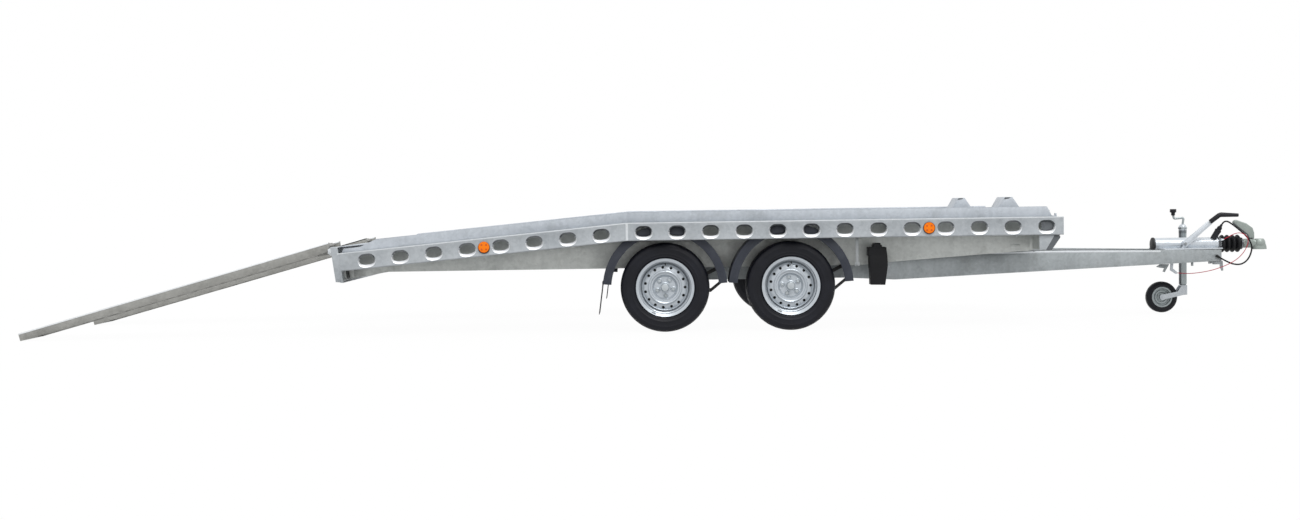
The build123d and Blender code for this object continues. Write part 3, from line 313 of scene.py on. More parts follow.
# parking socket: a moulded cup with a hinged lid's lug, seated on the housing
cup = turned([(0.0185, 0.06), (0.0185, 0.02), (0.0, 0.02), (0.0, -0.012), (0.0195, -0.012), (0.0215, 0.0),
              (0.0215, 0.048), (0.0235, 0.05), (0.0235, 0.058), (0.0215, 0.06)],
             Vector(lead_points[0]) - 0.1046 * Vector(holder_line), holder_line, 32)
settle(cup, "plug_socket_cup", black_plastic)
for place in cad["plug_holder"].material_slots:
    place.material = black_plastic


# ------------------------
# Breakaway cable: 5 mm steel wire in a red plastic sleeve. It runs from the
# foot of the hand lever in one wide loop in front of the bellows, back to an
# eye on the overrun housing.
red_sleeve = rubbery("red_cable_sleeve", (176, 0, 44), (110, 30, 50), 0.1, 0.35, 0.08, Specular_IOR_Level=0.2)

breakaway_points = (
    (3.6902, -0.075, 0.303), (3.7357, -0.077, 0.298), (3.7897, -0.082, 0.297), (3.8617, -0.09, 0.305),
    (3.9257, -0.094, 0.317), (3.9877, -0.096, 0.335), (4.0517, -0.098, 0.36), (4.1127, -0.098, 0.394),
    (4.1627, -0.095, 0.441), (4.1947, -0.092, 0.497), (4.2007, -0.088, 0.54), (4.1797, -0.085, 0.573),
    (4.1427, -0.08, 0.588), (4.1037, -0.074, 0.58), (4.0677, -0.068, 0.56), (4.0337, -0.062, 0.541),
)
breakaway = cord_along("breakaway_cable_sleeve", breakaway_points, 0.005, red_sleeve)
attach(breakaway, "chassis")
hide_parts("breakaway_cable")


# ------------------------
# Side rails: pressed steel channels 120 mm high, hot-dip galvanised. Each is
# cut and welded at the bend of the deck and has a row of flared lashing holes.

# zinc coat: spangles, broad clouding, runs from the bath and fine grain
numbers = {"Spangle size": 60.0, "Spangle": 0.22, "Clouds": 0.9, "Runs": 0.5, "Grime": 0.25,
           "Roughness": 0.42, "Shift": 0.0}
coating, given, wanted = new_group("zinc_coat", numbers, ("Dark zinc", "Light zinc", "Grime tone"))
where = add_node(coating, "TexCoord").outputs["Object"]
moved = add_node(coating, "VectorMath", {0: where, 1: given["Shift"]}, operation="ADD").outputs[0]
bent = add_node(coating, "TexNoise", {"Vector": moved, "Scale": 14.0, "Detail": 2.0}).outputs["Color"]
bent = add_node(coating, "VectorMath", {0: bent, "Scale": 0.02}, operation="SCALE").outputs[0]
bent = add_node(coating, "VectorMath", {0: moved, 1: bent}, operation="ADD").outputs[0]
cells = add_node(coating, "TexVoronoi", {"Vector": bent, "Scale": given["Spangle size"]})
cell = add_node(coating, "SeparateColor", {0: cells.outputs["Color"]}).outputs[0]
cloud = noise(coating, moved, 2.6, 5.0, 0.6)
feeds = {0: moved, 1: (16.0, 16.0, 1.1)}
tall = add_node(coating, "VectorMath", feeds, operation="MULTIPLY").outputs[0]
run = noise(coating, tall, 1.0, 4.0, 0.55)
fine = noise(coating, moved, 420.0)
level = 0.5
fine_strength = 0.06
strengths = (given["Spangle"], given["Clouds"], given["Runs"], fine_strength)
for pattern, strength in zip((cell, cloud, run, fine), strengths):
    centred = sums(coating, "SUBTRACT", pattern, 0.5)
    level = sums(coating, "MULTIPLY_ADD", centred, strength, level)
metal_tone = mixed(coating, level, given["Dark zinc"], given["Light zinc"])
spots = spread_of(coating, noise(coating, moved, 7.0, 8.0, 0.7), 0.52, 0.72)
spots = sums(coating, "MULTIPLY", spots, given["Grime"])
coating.links.new(mixed(coating, spots, metal_tone, given["Grime tone"]), wanted["Colour"])
dull = sums(coating, "MULTIPLY_ADD", sums(coating, "SUBTRACT", 0.5, level), 0.35, given["Roughness"])
coating.links.new(sums(coating, "MULTIPLY_ADD", spots, 0.3, dull), wanted["Roughness"])
bumps = sums(coating, "MULTIPLY_ADD", cell, 0.25, fine)
coating.links.new(sums(coating, "MULTIPLY_ADD", cloud, 1.5, bumps), wanted["Height"])


def zinc(name, dark, light, grime=(112, 112, 108), shift=0.0, metal=0.35, bump=0.12, **feeds):
    """A galvanised or zinc-plated finish."""
    tones = {"Dark zinc": tone(*dark), "Light zinc": tone(*light), "Grime tone": tone(*grime)}
    numbers = {label.replace("_", " "): value for label, value in feeds.items()}
    return new_finish(name, coating, {**tones, **numbers, "Shift": shift}, metal=metal, bump=bump)


home_of = {node: body for body, nodes in record["behaviour"]["bodies"].items() for node in nodes}
axle_boxes = [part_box("tyre_front_left"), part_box("tyre_rear_left")]
middle = sum(low.x + high.x for low, high in axle_boxes) / 4.0


def at(x, y, z):
    """A place in millimetres from the middle between the axles, turned into the frame's metres."""
    return Vector((x / 1000.0 + middle, y / 1000.0, z / 1000.0))


def modified(piece, kind, **settings):
    """Shape a piece with a modifier and keep the result."""
    alone(piece)
    bpy.ops.object.transform_apply(location=False, rotation=False, scale=True)
    modifier = piece.modifiers.new(kind.lower(), kind)
    for key, value in settings.items():
        setattr(modifier, key, value)
    bpy.ops.object.modifier_apply(modifier=modifier.name)
    return piece


def round_edges(piece, width, segments=2):
    """Break the sharp edges of a piece."""
    return modified(piece, "BEVEL", width=width, segments=segments, limit_method="ANGLE",
                    angle_limit=radians(35.0))


def crisp(node, finish, edge=0.0, segments=2):
    """Stand a merged copy in for a CAD node, with crisp or slightly rounded edges."""
    piece = bpy.data.objects.new(node + "_skin", cad[node].data.copy())
    bpy.context.scene.collection.objects.link(piece)
    alone(piece)
    bpy.ops.mesh.customdata_custom_splitnormals_clear()
    edit_all(piece)
    bpy.ops.mesh.remove_doubles(threshold=0.00002)
    bpy.ops.mesh.dissolve_limited(angle_limit=radians(0.6))
    bpy.ops.object.mode_set(mode="OBJECT")
    if edge:
        round_edges(piece, edge, segments)
    settle(piece, node + "_skin", finish, home_of[node], 32.0)
    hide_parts(node)
    return piece


def second_coat(piece, finish, test):
    """Give a second finish to the faces whose middle and normal pass a test."""
    piece.data.materials.append(finish)
    index = len(piece.data.materials) - 1
    for face in piece.data.polygons:
        if test(face.center, face.normal):
            face.material_index = index


def block(low, high):
    """A box between two corners in millimetres."""
    first, last = at(*low), at(*high)
    piece = started(bpy.ops.mesh.primitive_cube_add, size=1.0, location=(first + last) / 2.0)
    piece.scale = [abs(v) for v in last - first]
    return piece


def rod(start, end, radius, sides):
    """A round bar between two places in millimetres."""
    first, last = at(*start), at(*end)
    piece = started(bpy.ops.mesh.primitive_cylinder_add, vertices=sides, radius=radius / 1000.0,
                    depth=(last - first).length, location=(first + last) / 2.0)
    piece.rotation_euler = (last - first).to_track_quat("Z", "Y").to_euler()
    return piece


def joined(pieces):
    """Several pieces made into one."""
    bpy.ops.object.select_all(action="DESELECT")
    for piece in pieces:
        piece.select_set(True)
    bpy.context.view_layer.objects.active = pieces[0]
    bpy.ops.object.join()
    return pieces[0]


def side_plate(outline, y0, y1):
    """A flat plate cut to an outline in the side view, between two distances from the middle."""
    plate = started(bpy.ops.mesh.primitive_circle_add, vertices=len(outline), radius=0.1, fill_type="NGON")
    for corner, (x, z) in zip(plate.data.vertices, outline):
        corner.co = at(x, y0, z)
    edit_all(plate)
    bpy.ops.mesh.extrude_region_move(TRANSFORM_OT_translate={"value": (0.0, (y1 - y0) / 1000.0, 0.0)})
    face_outward()
    return plate


def copied(piece):
    """A copy of a piece with a mesh of its own."""
    copy = piece.copy()
    copy.data = piece.data.copy()
    bpy.context.scene.collection.objects.link(copy)
    return copy


rail_zinc = zinc("rail_zinc", (142, 148, 153), (190, 195, 199), (108, 110, 108), bump=0.1)
# a near-white zinc tone: painted highlight for surfaces that face the light
bright_highlight_zinc = zinc("bright_highlight_zinc", (214, 217, 220), (246, 248, 250), (180, 180, 178), 5.0, 0.55, 0.05, Grime=0.1)
# a dark zinc tone used as painted shade
shade_zinc = zinc("shade_zinc", (80, 84, 88), (118, 122, 126), (70, 70, 68), 12.0, 0.5, 0.08)
# a light zinc tone: painted highlight for bright edges, beads and bars
edge_highlight_zinc = zinc("edge_highlight_zinc", (190, 195, 199), (226, 230, 233), (150, 150, 148), 8.0, 0.45, 0.06, Grime=0.15)
both_sides = (("left", 1), ("right", -1))
# the deck bends at this station; behind it everything falls at this angle
knuckle = -668.0
fall = radians(5.2)
rail_rear, rail_front, rail_top, rail_face = -2604, 2221, 735, 1075
rim_half_height, rim_inner_face = 47.0, 1055.0


def fallen(x, z):
    """A height on the level front part, less what the rear part has fallen at a station."""
    return z - max(0.0, knuckle - x) * math.tan(fall)


def hole_height(x):
    """The height of the row of lashing holes at a station."""
    return fallen(x, 668.0)


def on_flare(middle_point, normal):
    """The pressed rim of a lashing hole."""
    x, y, z = (middle_point.x - middle) * 1000.0, middle_point.y * 1000.0, middle_point.z * 1000.0
    outward = normal.y * (1.0 if y > 0.0 else -1.0)
    level = abs(z - hole_height(x)) < rim_half_height
    return level and abs(y) > rim_inner_face and 0.25 < outward < 0.93


# the upward-facing faces of each hole's flare get a painted highlight, the downward-facing ones painted shade
for side in ("left", "right"):
    rail = crisp("side_rail_" + side, rail_zinc, 0.0012)
    second_coat(rail, bright_highlight_zinc, lambda place, normal: on_flare(place, normal) and normal.z > 0.0)
    second_coat(rail, shade_zinc, lambda place, normal: on_flare(place, normal) and normal.z < -0.35)


def lip_point(turn, share):
    """A point of a pressed lip's crescent: outer edge at share 0, inner edge at share 1."""
    half_width, half_height, squareness = 59.5 - 7.5 * share, rim_half_height - 19.0 * share, 2.4
    c, s = cos(turn), sin(turn)
    reach = (abs(c) ** squareness + abs(s) ** squareness) ** (-1.0 / squareness)
    return half_width * reach * c, half_height * reach * s


# every lashing hole has a rolled lower lip that catches the light and is painted in the near-white highlight
# tone besides: one is modelled from a strip and copied along the row
first_lip = started(bpy.ops.mesh.primitive_grid_add, x_subdivisions=18, y_subdivisions=3, size=2.0)
lip_depths = (0.0009, -0.0016, -0.0065, -0.0135)
for corner in first_lip.data.vertices:
    share = (corner.co.y + 1.0) / 2.0
    x, z = lip_point(radians(270.0 + 94.0 * corner.co.x), share)
    corner.co = (x / 1000.0, lip_depths[round(share * 3.0)], z / 1000.0)
modified(first_lip, "SOLIDIFY", thickness=0.0012, offset=0.0)
hole_stations = [-558 + 222.3 * i for i in range(13)] + [-838 - 222.3 * i for i in range(8)]
for name, side in both_sides:
    lips = []
    for x in hole_stations:
        lip = copied(first_lip)
        lip.scale = (1.0, side, 1.0)
        lip.rotation_euler = (0.0, -fall if x < knuckle else 0.0, 0.0)
        lip.location = at(x, side * rail_face, hole_height(x))
        lips.append(lip)
    row = joined(lips)
    edit_all(row)
    face_outward()
    settle(row, "hole_lips_" + name, bright_highlight_zinc, angle=50.0)
    # the folded top corner of the rail: a strip painted in a light highlight tone along its whole length
    edges = []
    for rear, front in ((knuckle, rail_front), (rail_rear, knuckle)):
        outline = [(rear, fallen(rear, rail_top - 8)), (front, rail_top - 8), (front, rail_top),
                   (rear, fallen(rear, rail_top))]
        edges.append(side_plate(outline, side * (rail_face - 1), side * (rail_face + 1)))
    settle(round_edges(joined(edges), 0.0008), "rail_top_edge_" + name, edge_highlight_zinc)
bpy.data.objects.remove(first_lip)

# the cut of the bend is closed with a filler strip and two weld beads, painted in a light highlight tone
for name, y in (("left", 1075.6), ("right", -1075.6)):
    seam = [rod((x, y - 0.4, 617), (x, y - 0.4, 731), 1.2, 8) for x in (-676, -662)]
    seam += [block((-676, y - 0.6, 618), (-662, y + 0.6, 730))]
    settle(joined(seam), "rail_weld_" + name, edge_highlight_zinc)


# ------------------------
# Kerbs: folded steel strips standing on the rails to keep a car's wheels in,
# with slanted ends and a small locating hook at the front.
kerb_zinc = zinc("kerb_zinc", (156, 162, 169), (198, 204, 211), (110, 112, 110), 3.7)
kerb_top = 802
crisp("kerbs", kerb_zinc, 0.0008)
for name, side in both_sides:
    level_face = [(knuckle, rail_top), (2162, rail_top), (2127, kerb_top), (knuckle, kerb_top)]
    rear_end = ((-2570, rail_top), (-2560, 752), (-2440, 764), (-2340, kerb_top))
    fall_face = [(x, fallen(x, z)) for x, z in (*rear_end, (knuckle, kerb_top), (knuckle, rail_top))]
    faces = [side_plate(outline, side * 1012, side * 1013.6) for outline in (level_face, fall_face)]
    settle(round_edges(joined(faces), 0.0005), "kerb_face_" + name, kerb_zinc)
for name, side in both_sides:
    hook = [block((2160, side * 1003, 734), (2192, side * 1019, 741)),
            block((2176, side * 1006, 738), (2190, side * 1016, 757))]
    settle(round_edges(joined(hook), 0.0015), "kerb_hook_" + name, kerb_zinc)


# ------------------------
# Runways: steel deck planks with rows of punched, upturned grip holes. Each
# wheel track is one folded plank, level in front and falling behind the bend.
def grip_cell(pitch_x, pitch_y):
    """One grip hole: a square of sheet with a round hole and its upturned collar."""
    cell = started(bpy.ops.mesh.primitive_circle_add, vertices=12, radius=0.011, fill_type="NOTHING",
                   rotation=(0, 0, radians(15)))
    bpy.ops.object.transform_apply(location=False, rotation=True, scale=False)
    edit_all(cell)
    bpy.ops.transform.translate(value=(0.0, 0.0, 0.004))
    bpy.ops.mesh.extrude_edges_move(TRANSFORM_OT_translate={"value": (0.0, 0.0, -0.004)})
    bpy.ops.transform.resize(value=(1.45, 1.45, 1.0))
    bpy.ops.mesh.extrude_edges_move(TRANSFORM_OT_translate={"value": (0.0, 0.0, 0.0)})
    bpy.ops.object.mode_set(mode="OBJECT")
    for corner in cell.data.vertices[24:36]:
        largest = max(abs(corner.co.x), abs(corner.co.y))
        corner.co.x *= pitch_x / 2.0 / largest
        corner.co.y *= pitch_y / 2.0 / largest
    return cell


def cell_field(count_x, count_y, pitch_x, pitch_y):
    """A field of grip holes."""
    cell = grip_cell(pitch_x, pitch_y)
    for count, shift in ((count_x, (pitch_x, 0.0, 0.0)), (count_y, (0.0, pitch_y, 0.0))):
        modified(cell, "ARRAY", count=count, use_relative_offset=False, use_constant_offset=True,
                 constant_offset_displace=shift, use_merge_vertices=True, merge_threshold=0.0002)
    return cell


deck_top, deck_front, deck_rear, frame_top = 774.0, 2150.0, -2586.0, 734
deck_inner, deck_outer = 380.0, 1000.0
level_run, rear_run = (deck_front - knuckle) / 1000.0, (knuckle - deck_rear) / cos(fall) / 1000.0
level_count, rear_count, cross_count, cross_pitch = 48, 32, 10, 0.062
uphill = Vector((cos(fall), 0.0, sin(fall)))
for name, side in both_sides:
    bend = at(knuckle, deck_inner if side > 0 else -deck_outer, deck_top)
    level_pitch, rear_pitch = level_run / level_count, rear_run / rear_count
    level_part = cell_field(level_count, cross_count, level_pitch, cross_pitch)
    level_part.location = bend + Vector((level_pitch, cross_pitch, 0.0)) / 2.0
    rear_part = cell_field(rear_count, cross_count, rear_pitch, cross_pitch)
    rear_part.rotation_euler = (0.0, -fall, 0.0)
    rear_part.location = bend + (rear_pitch / 2.0 - rear_run) * uphill + Vector((0.0, cross_pitch / 2.0, 0.0))
    plank = modified(joined([level_part, rear_part]), "SOLIDIFY", thickness=0.0025, offset=-1.0)
    legs = []
    for y in (side * 382.0, side * 758.0):
        legs.append(block((knuckle, y - 2, frame_top), (deck_front, y + 2, deck_top - 0.5)))
        slope = block((knuckle - 1000.0 * rear_run, y - 2, frame_top), (knuckle, y + 2, deck_top - 0.5))
        alone(slope)
        bpy.ops.object.transform_apply(location=True, rotation=False, scale=True)
        for corner in slope.data.vertices:
            along = corner.co.x - bend.x
            corner.co.x = bend.x + along * cos(fall)
            corner.co.z += along * sin(fall)
        legs.append(slope)
    plank = joined([plank] + legs)
    settle(plank, "grip_plank_" + name, kerb_zinc)
    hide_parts("runway_" + name)


# ------------------------
# Wheel stops: folded, galvanised steel blocks, one across the front of each
# runway, held by a weld bead along its front and its rear foot.
crisp("wheel_stops", kerb_zinc, 0.003)
for name, side in both_sides:
    beads = [rod((x, side * 712, 775), (x, side * 958, 775), 2.5, 8) for x in (1803, 1973)]
    settle(joined(beads), "stop_weld_" + name, kerb_zinc)
    # a thin dark plate on each end of the stop: painted shade standing in for its shaded open top
    outline = [(1861, 867), (1899, 867), (1886, 858), (1852, 853)]
    shade_patches = [side_plate(outline, side * y, side * (y + 0.6)) for y in (709.2, 960.2)]
    settle(joined(shade_patches), "stop_shade_patch_" + name, shade_zinc)


# ------------------------
# Deck frame: two deep folded beams under the deck, channels across between
# them and brackets out to the rails, galvanised, matt and a little warmer.
beam_zinc = zinc("beam_zinc", (168, 172, 170), (212, 215, 212), (128, 129, 125), 9.1, Grime=0.35)
for node in ("deck_beam_left", "deck_beam_right", "cross_members", "outriggers"):
    crisp(node, beam_zinc, 0.0012)
bolt_zinc = zinc("bolt_zinc", (120, 124, 126), (176, 180, 182), (84, 80, 74), 40.0, 0.5, 0.05, Spangle=0.1)


def bolts(name, places, direction, size, finish, body="chassis"):
    """Hexagon bolts with washers: one is modelled, then copied to each place."""
    parts = []
    for sides, *shares in ((20, 1.15, 0.22, 0.11), (6, 0.95, 0.62, 0.53), (12, 0.48, 0.3, 0.95)):
        radius, depth, height = (share * size / 1000.0 for share in shares)
        cylinder = bpy.ops.mesh.primitive_cylinder_add
        parts.append(started(cylinder, vertices=sides, radius=radius, depth=depth, location=(0, 0, height)))
    washer, head, end = parts
    first = joined([washer, round_edges(head, 0.08 * size / 1000.0, 1), end])
    bpy.ops.object.transform_apply(location=True, rotation=True, scale=True)
    made = []
    for place in places:
        bolt = copied(first)
        bolt.location = at(*place)
        bolt.rotation_euler = Vector(direction).to_track_quat("Z", "Y").to_euler()
        made.append(bolt)
    bpy.data.objects.remove(first)
    return settle(joined(made), name, finish, body)


cross_stations = (-2050, -1500, -950, -350, 250, 850, 1450, 2000)
arm_stations = (-2285, -1840, -1395, -950, -2, 1109, 1776)
for name, side in both_sides:
    places = [(x, side * 735.5, fallen(x, frame_top) - 40) for x in cross_stations]
    bolts("cross_bolts_" + name, places, (0, -side, 0), 9, bolt_zinc)
    places = [(x + dx, side * 900, fallen(x, frame_top) - 8.2) for x in arm_stations for dx in (-12, 12)]
    bolts("arm_bolts_" + name, places, (0, 0, -1), 8, bolt_zinc)
    places = [(1913, side * 1045, 613.5), (2089, side * 790, 506)]
    bolts("front_bolts_" + name, places, (0, 0, -1), 11, bolt_zinc)
    patch = block((1930, side * 800.4, 523), (1994, side * 801.9, 548))
    settle(round_edges(patch, 0.0006), "frame_patch_" + name, beam_zinc)
    web = block((2060, side * 796.5, 512), (2150, side * 800.5, 610))
    settle(round_edges(web, 0.0006), "frame_end_" + name, beam_zinc)


# ------------------------
# Front beam: folded from one sheet across the ends of the deck frame, with a
# slanting lower face, boxed ends and a foot on each drawbar beam.
front_beam = crisp("front_beam", beam_zinc, 0.0012)
# the beam's slanting lower face and its boxed ends get painted shade
second_coat(front_beam, shade_zinc, lambda place, normal: normal.x > 0.4 and -0.95 < normal.z < -0.2)
second_coat(front_beam, shade_zinc, lambda place, normal: abs(normal.y) > 0.9 and abs(place.y) > 0.7)


def plate_pairs(*rows):
    """Flat plates on each side of the trailer: name, outline, inner and outer face, finish and rounding."""
    for word, side in both_sides:
        for name, outline, inner, outer, finish, *rounding in rows:
            plate = side_plate(outline, side * inner, side * outer)
            settle(round_edges(plate, *rounding), name + "_" + word, finish)


gusset = [(2066, 514), (2110, 514), (2164, 606), (2164, 612), (2066, 612)]
# the slanting plate under the rail's front end is painted shade
slant = [(2108, 513), (2148, 513), (2205, 594), (2205, 606), (2162, 606)]
plate_pairs(("front_gusset", gusset, 1048, 1053, rail_zinc, 0.001),
            ("front_slant", slant, 1046, 1052, shade_zinc, 0.001))


# ------------------------
# Rear plate: a leaning folded panel behind the deck frame with the rear lamps
# set into it and a blank number plate on its middle.
crisp("rear_plate", rail_zinc, 0.001)
# the panel leans back 36 mm over its height of 239 mm
lean = math.atan2(36.0, 239.0)
lamp_boxes = crisp("rear_lamps", black_plastic, 0.0015)
second_coat(lamp_boxes, beam_zinc, lambda place, normal: abs(normal.y) > 0.8)
red_lens = rubbery("red_lens", (190, 18, 20), (120, 40, 36), 0.08, 0.14, 0.02, 50.0, Coat_Weight=0.6)
amber_lens = rubbery("amber_lens", (250, 130, 2), (216, 100, 10), 0.08, 0.2, 0.02, 51.0,
                     Specular_IOR_Level=0.25)
clear_lens = rubbery("clear_lens", (226, 228, 230), (190, 190, 186), 0.08, 0.12, 0.02, 52.0, Coat_Weight=0.6)
lamp_back = (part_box("rear_lamps")[0].x - middle) * 1000.0
for name, side in both_sides:
    parts = ((868, 921, amber_lens, "turn", "amber_lens"), (772, 866, red_lens, "tail", "red_lens"),
             (704, 770, clear_lens, "reverse", "plate"))
    for y0, y1, finish, word, lens_slot in parts:
        lens = block((lamp_back - 2, side * y0, 391), (lamp_back + 16, side * y1, 474))
        alone(lens)
        bpy.ops.object.transform_apply(location=False, rotation=False, scale=True)
        edit_all(lens)
        bpy.ops.mesh.subdivide(number_cuts=3)
        bpy.ops.object.mode_set(mode="OBJECT")
        # the rim of the lens's face stands back 4 mm
        for corner in lens.data.vertices:
            to_edge = min(0.0415 - abs(corner.co.z), (y1 - y0) / 2000.0 - abs(corner.co.y))
            if corner.co.x < -0.008 and to_edge < 0.001:
                corner.co.x += 0.004
        lens.rotation_euler = (0.0, -lean, 0.0)
        settle(round_edges(lens, 0.0012), word + "_lens_" + name, finish)

plate_white = rubbery("plate_white", (236, 236, 230), (196, 194, 186), 0.25, 0.3, 0.02, 53.0)
crisp("number_plate", plate_white, 0.0008)
plate_back = (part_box("number_plate")[0].x - middle) * 1000.0
lamps = [block((plate_back - 6, y - 34, 494), (plate_back + 14, y + 34, 514)) for y in (-110, 110)]
settle(round_edges(joined(lamps), 0.004), "plate_lamps", black_plastic)
cheek = [(-2634, 600), (-2602, 370), (-2572, 368), (-2592, 604), (-2630, 604)]
web = [(-2600, 556), (-2530, 562), (-2530, 390), (-2574, 378)]
plate_pairs(("rear_corner", cheek, 1042, 1076, rail_zinc, 0.007, 4),
            ("rear_web", web, 797, 801, beam_zinc, 0.0008))


# ------------------------
# Loading ramps: two deep rails with folded treads between them, hooked over a
# round bar behind the rear plate. They swing up about that bar.
ramp_zinc = zinc("ramp_zinc", (128, 128, 124), (174, 174, 170), (112, 110, 106), 21.0, Grime=0.35)
# the round bar is painted in a light highlight tone
crisp("ramp_bar", edge_highlight_zinc, 0.001)
ramp_run, ramp_rise, ramp_depth, toe_x = 2082.0, 630.0, 50.0, -4750.0
ramp_length = math.sqrt(ramp_run**2 + ramp_rise**2 - ramp_depth**2)
ramp_slope = math.atan2(ramp_rise, ramp_run) - math.atan2(ramp_depth, ramp_length)
toe_top = (toe_x - ramp_depth * sin(ramp_slope), ramp_depth * cos(ramp_slope))


def on_ramp(along, above):
    """A place on the ramp's side, measured along its top edge from the toe."""
    x = toe_top[0] + along * cos(ramp_slope) - above * sin(ramp_slope)
    return x, toe_top[1] + along * sin(ramp_slope) + above * cos(ramp_slope)


for name, side in both_sides:
    body = "loading_ramp_" + name
    crisp("ramp_" + name, ramp_zinc, 0.0012)
    # strips along the ramp's top edges, painted in the near-white highlight tone
    edge = [on_ramp(2, -7), on_ramp(ramp_length - 4, -7), on_ramp(ramp_length - 4, 2.5), on_ramp(2, 2.5)]
    trims = [side_plate(edge, side * inner, side * outer) for inner, outer in ((530, 566), (916, 952))]
    settle(round_edges(joined(trims), 0.0008), "ramp_flanges_" + name, bright_highlight_zinc, body)
    teeth = []
    for step in range(22):
        along = 40 + step * (ramp_length - 90) / 21
        tooth = [on_ramp(along + dx, dz) for dx, dz in ((-12, -2), (-6, 4), (6, 4), (12, -2))]
        teeth += [side_plate(tooth, side * (y - 2), side * (y + 2)) for y in (610, 675, 740, 805, 870)]
    settle(joined(teeth), "ramp_grips_" + name, ramp_zinc, body)
    foot = [on_ramp(*place) for place in ((0, -50), (0, 2), (60, 2), (66, -6), (6, -6))]
    toe = side_plate(foot, side * 534, side * 946)
    settle(round_edges(toe, 0.001), "ramp_toe_" + name, ramp_zinc, body)
    places = [(-2695, side * y, 572) for y in (560, 912)]
    bolts("ramp_bolts_" + name, places, (0, side, 0), 8, bolt_zinc, body)


# ------------------------
# Drawbar: two folded galvanised beams under the frame that run together in
# front. The brake rod lies between them on its way to the axles.
drawbar_zinc = zinc("drawbar_zinc", (132, 138, 140), (182, 188, 191), (112, 114, 108), 14.3, Grime=0.35)
for node in ("drawbar_beam_left", "drawbar_beam_right"):
    crisp(node, drawbar_zinc, 0.0014)
crisp("brake_rod", bolt_zinc, 0.0008)
# the rounded upper fold of each beam, a rod painted in a light highlight tone where it meets the sky; the
# beams run from beam_y at their rear ends in to 80 mm at the nose
beam_y, beam_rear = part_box("drawbar_beam_left")[1].y * 1000.0, 1153.0
for name, side in both_sides:
    line = []
    for x, z in ((beam_rear, 500), (2420, 484), (3000, 474), (3128, 472)):
        y = beam_y + (80.0 - beam_y) * (x - beam_rear) / 2457.0
        line.append((x, side * (y - 7.5), z - 7.5))
    fold = [rod(start, end, 9.5, 16) for start, end in zip(line, line[1:])]
    settle(joined(fold), "drawbar_fold_" + name, edge_highlight_zinc)
equaliser = [block((540, -150, 384), (548, 0, 408)), rod((548, -75, 396), (640, -75, 396), 9, 12)]
equaliser += [rod((548, y, 396), (420, y * 4.6, 330), 4, 10) for y in (-140, -12)]
settle(joined(equaliser), "brake_equaliser", bolt_zinc)
hook = [(3136, 349), (3164, 367), (3232, 367), (3200, 309), (3184, 314), (3195, 338), (3169, 341)]
eye = [(3598, 385), (3622, 385), (3626, 316), (3614, 312), (3602, 340)]
nose_bits = [side_plate(hook, -80, -74), side_plate(eye, -70, -64), block((3556, -72, 360), (3612, -40, 388)),
             rod((3400, -72, 352), (3400, -72, 390), 9, 12), rod((3525, -72, 366), (3525, -72, 390), 9, 12),
             block((3536, -78, 368), (3548, -60, 388))]
settle(round_edges(joined(nose_bits), 0.0008), "nose_brackets", drawbar_zinc)


# ------------------------
# Axles: galvanised rubber-suspension tubes with drop-forged arms; each arm
# carries a black backplate and a drum with its wheel hub.
black_steel = rubbery("black_steel", (18, 19, 22), (66, 64, 60), 0.3, 0.45, 0.1, 60.0)
for node in ("axle_front", "axle_rear"):
    crisp(node, bolt_zinc, 0.0015)
crisp("brake_plates", black_steel, 0.0012)
hub_zinc = zinc("hub_zinc", (150, 158, 162), (206, 212, 216), (92, 90, 84), 37.0, 0.55, 0.06,
                Spangle=0.08, Roughness=0.35)
wheel_places = ("front_left", "front_right", "rear_left", "rear_right")
for where in wheel_places:
    crisp("hub_" + where, hub_zinc, 0.0015)


# ------------------------
# Wheels: 14 inch steel rims in silver enamel with fifteen vent holes and five
# bolts, and black radial tyres with four grooves round the tread.
tyre_rubber = rubbery("tyre_rubber", (10, 12, 20), (46, 49, 60), 0.2, 0.46, 0.16, 62.0,
                      Specular_IOR_Level=0.25)
rim_silver = zinc("rim_silver", (160, 168, 175), (206, 212, 218), (128, 126, 120), 66.0, 0.45, 0.03,
                  Clouds=0.35, Spangle=0.04, Runs=0.1, Grime=0.2, Roughness=0.3)
# a darker silver: painted shade for the rim's inward-facing faces
rim_shade = zinc("rim_shade", (116, 122, 128), (162, 168, 174), (84, 82, 78), 67.0, 0.4, 0.03,
                 Clouds=0.4, Spangle=0.04)
dark_ring = rubbery("vent_shadow", (30, 32, 34), (60, 58, 54), 0.25, 0.7, 0.1, 68.0)
wall = [(178, 62), (183, 72), (194, 79), (205, 85), (208.5, 88), (212, 87), (222, 90), (226, 92.2),
        (230, 90.8), (240, 92.5), (256, 91.2), (259, 92.2), (262, 90.4), (268, 89.5), (279, 84.5),
        (286, 80.5), (292, 73), (295, 66), (297.4, 54)]
tread = [(298, 44), (290, 43), (290, 36), (298, 35), (298, 15), (290, 14), (290, 7), (298, 6)]
half = wall + tread
tyre_profile = half + [(r, -w) for r, w in half[::-1]]
tread_steps = 96
drum_profile = [(0.1, 0.004), (0.153, 0.004), (0.153, 0.02), (0.146, 0.024), (0.106, 0.024), (0.1, 0.02)]
disc_rings = ([(0.096, 0.046), (0.1, 0.057), (0.106, 0.0605), (0.112, 0.0565), (0.1155, 0.046)],
              [(0.15, 0.034), (0.1495, 0.041), (0.1525, 0.043), (0.155, 0.041), (0.156, 0.034)],
              [(0.0265, 0.03), (0.0265, 0.04), (0.03, 0.042), (0.0335, 0.04), (0.0345, 0.03)])
cap_profile = [(0.0, 0.074), (0.012, 0.0735), (0.02, 0.071), (0.0245, 0.066), (0.0258, 0.058),
               (0.0258, 0.034), (0.0, 0.034)]
seat_profile = [(0.011, 0.0), (0.012, 0.004), (0.0145, 0.006), (0.018, 0.004), (0.02, 0.0)]
stem_profile = [(0.0, 0.0), (0.0052, 0.0), (0.0052, 0.014), (0.0036, 0.018), (0.0036, 0.03), (0.0, 0.03)]


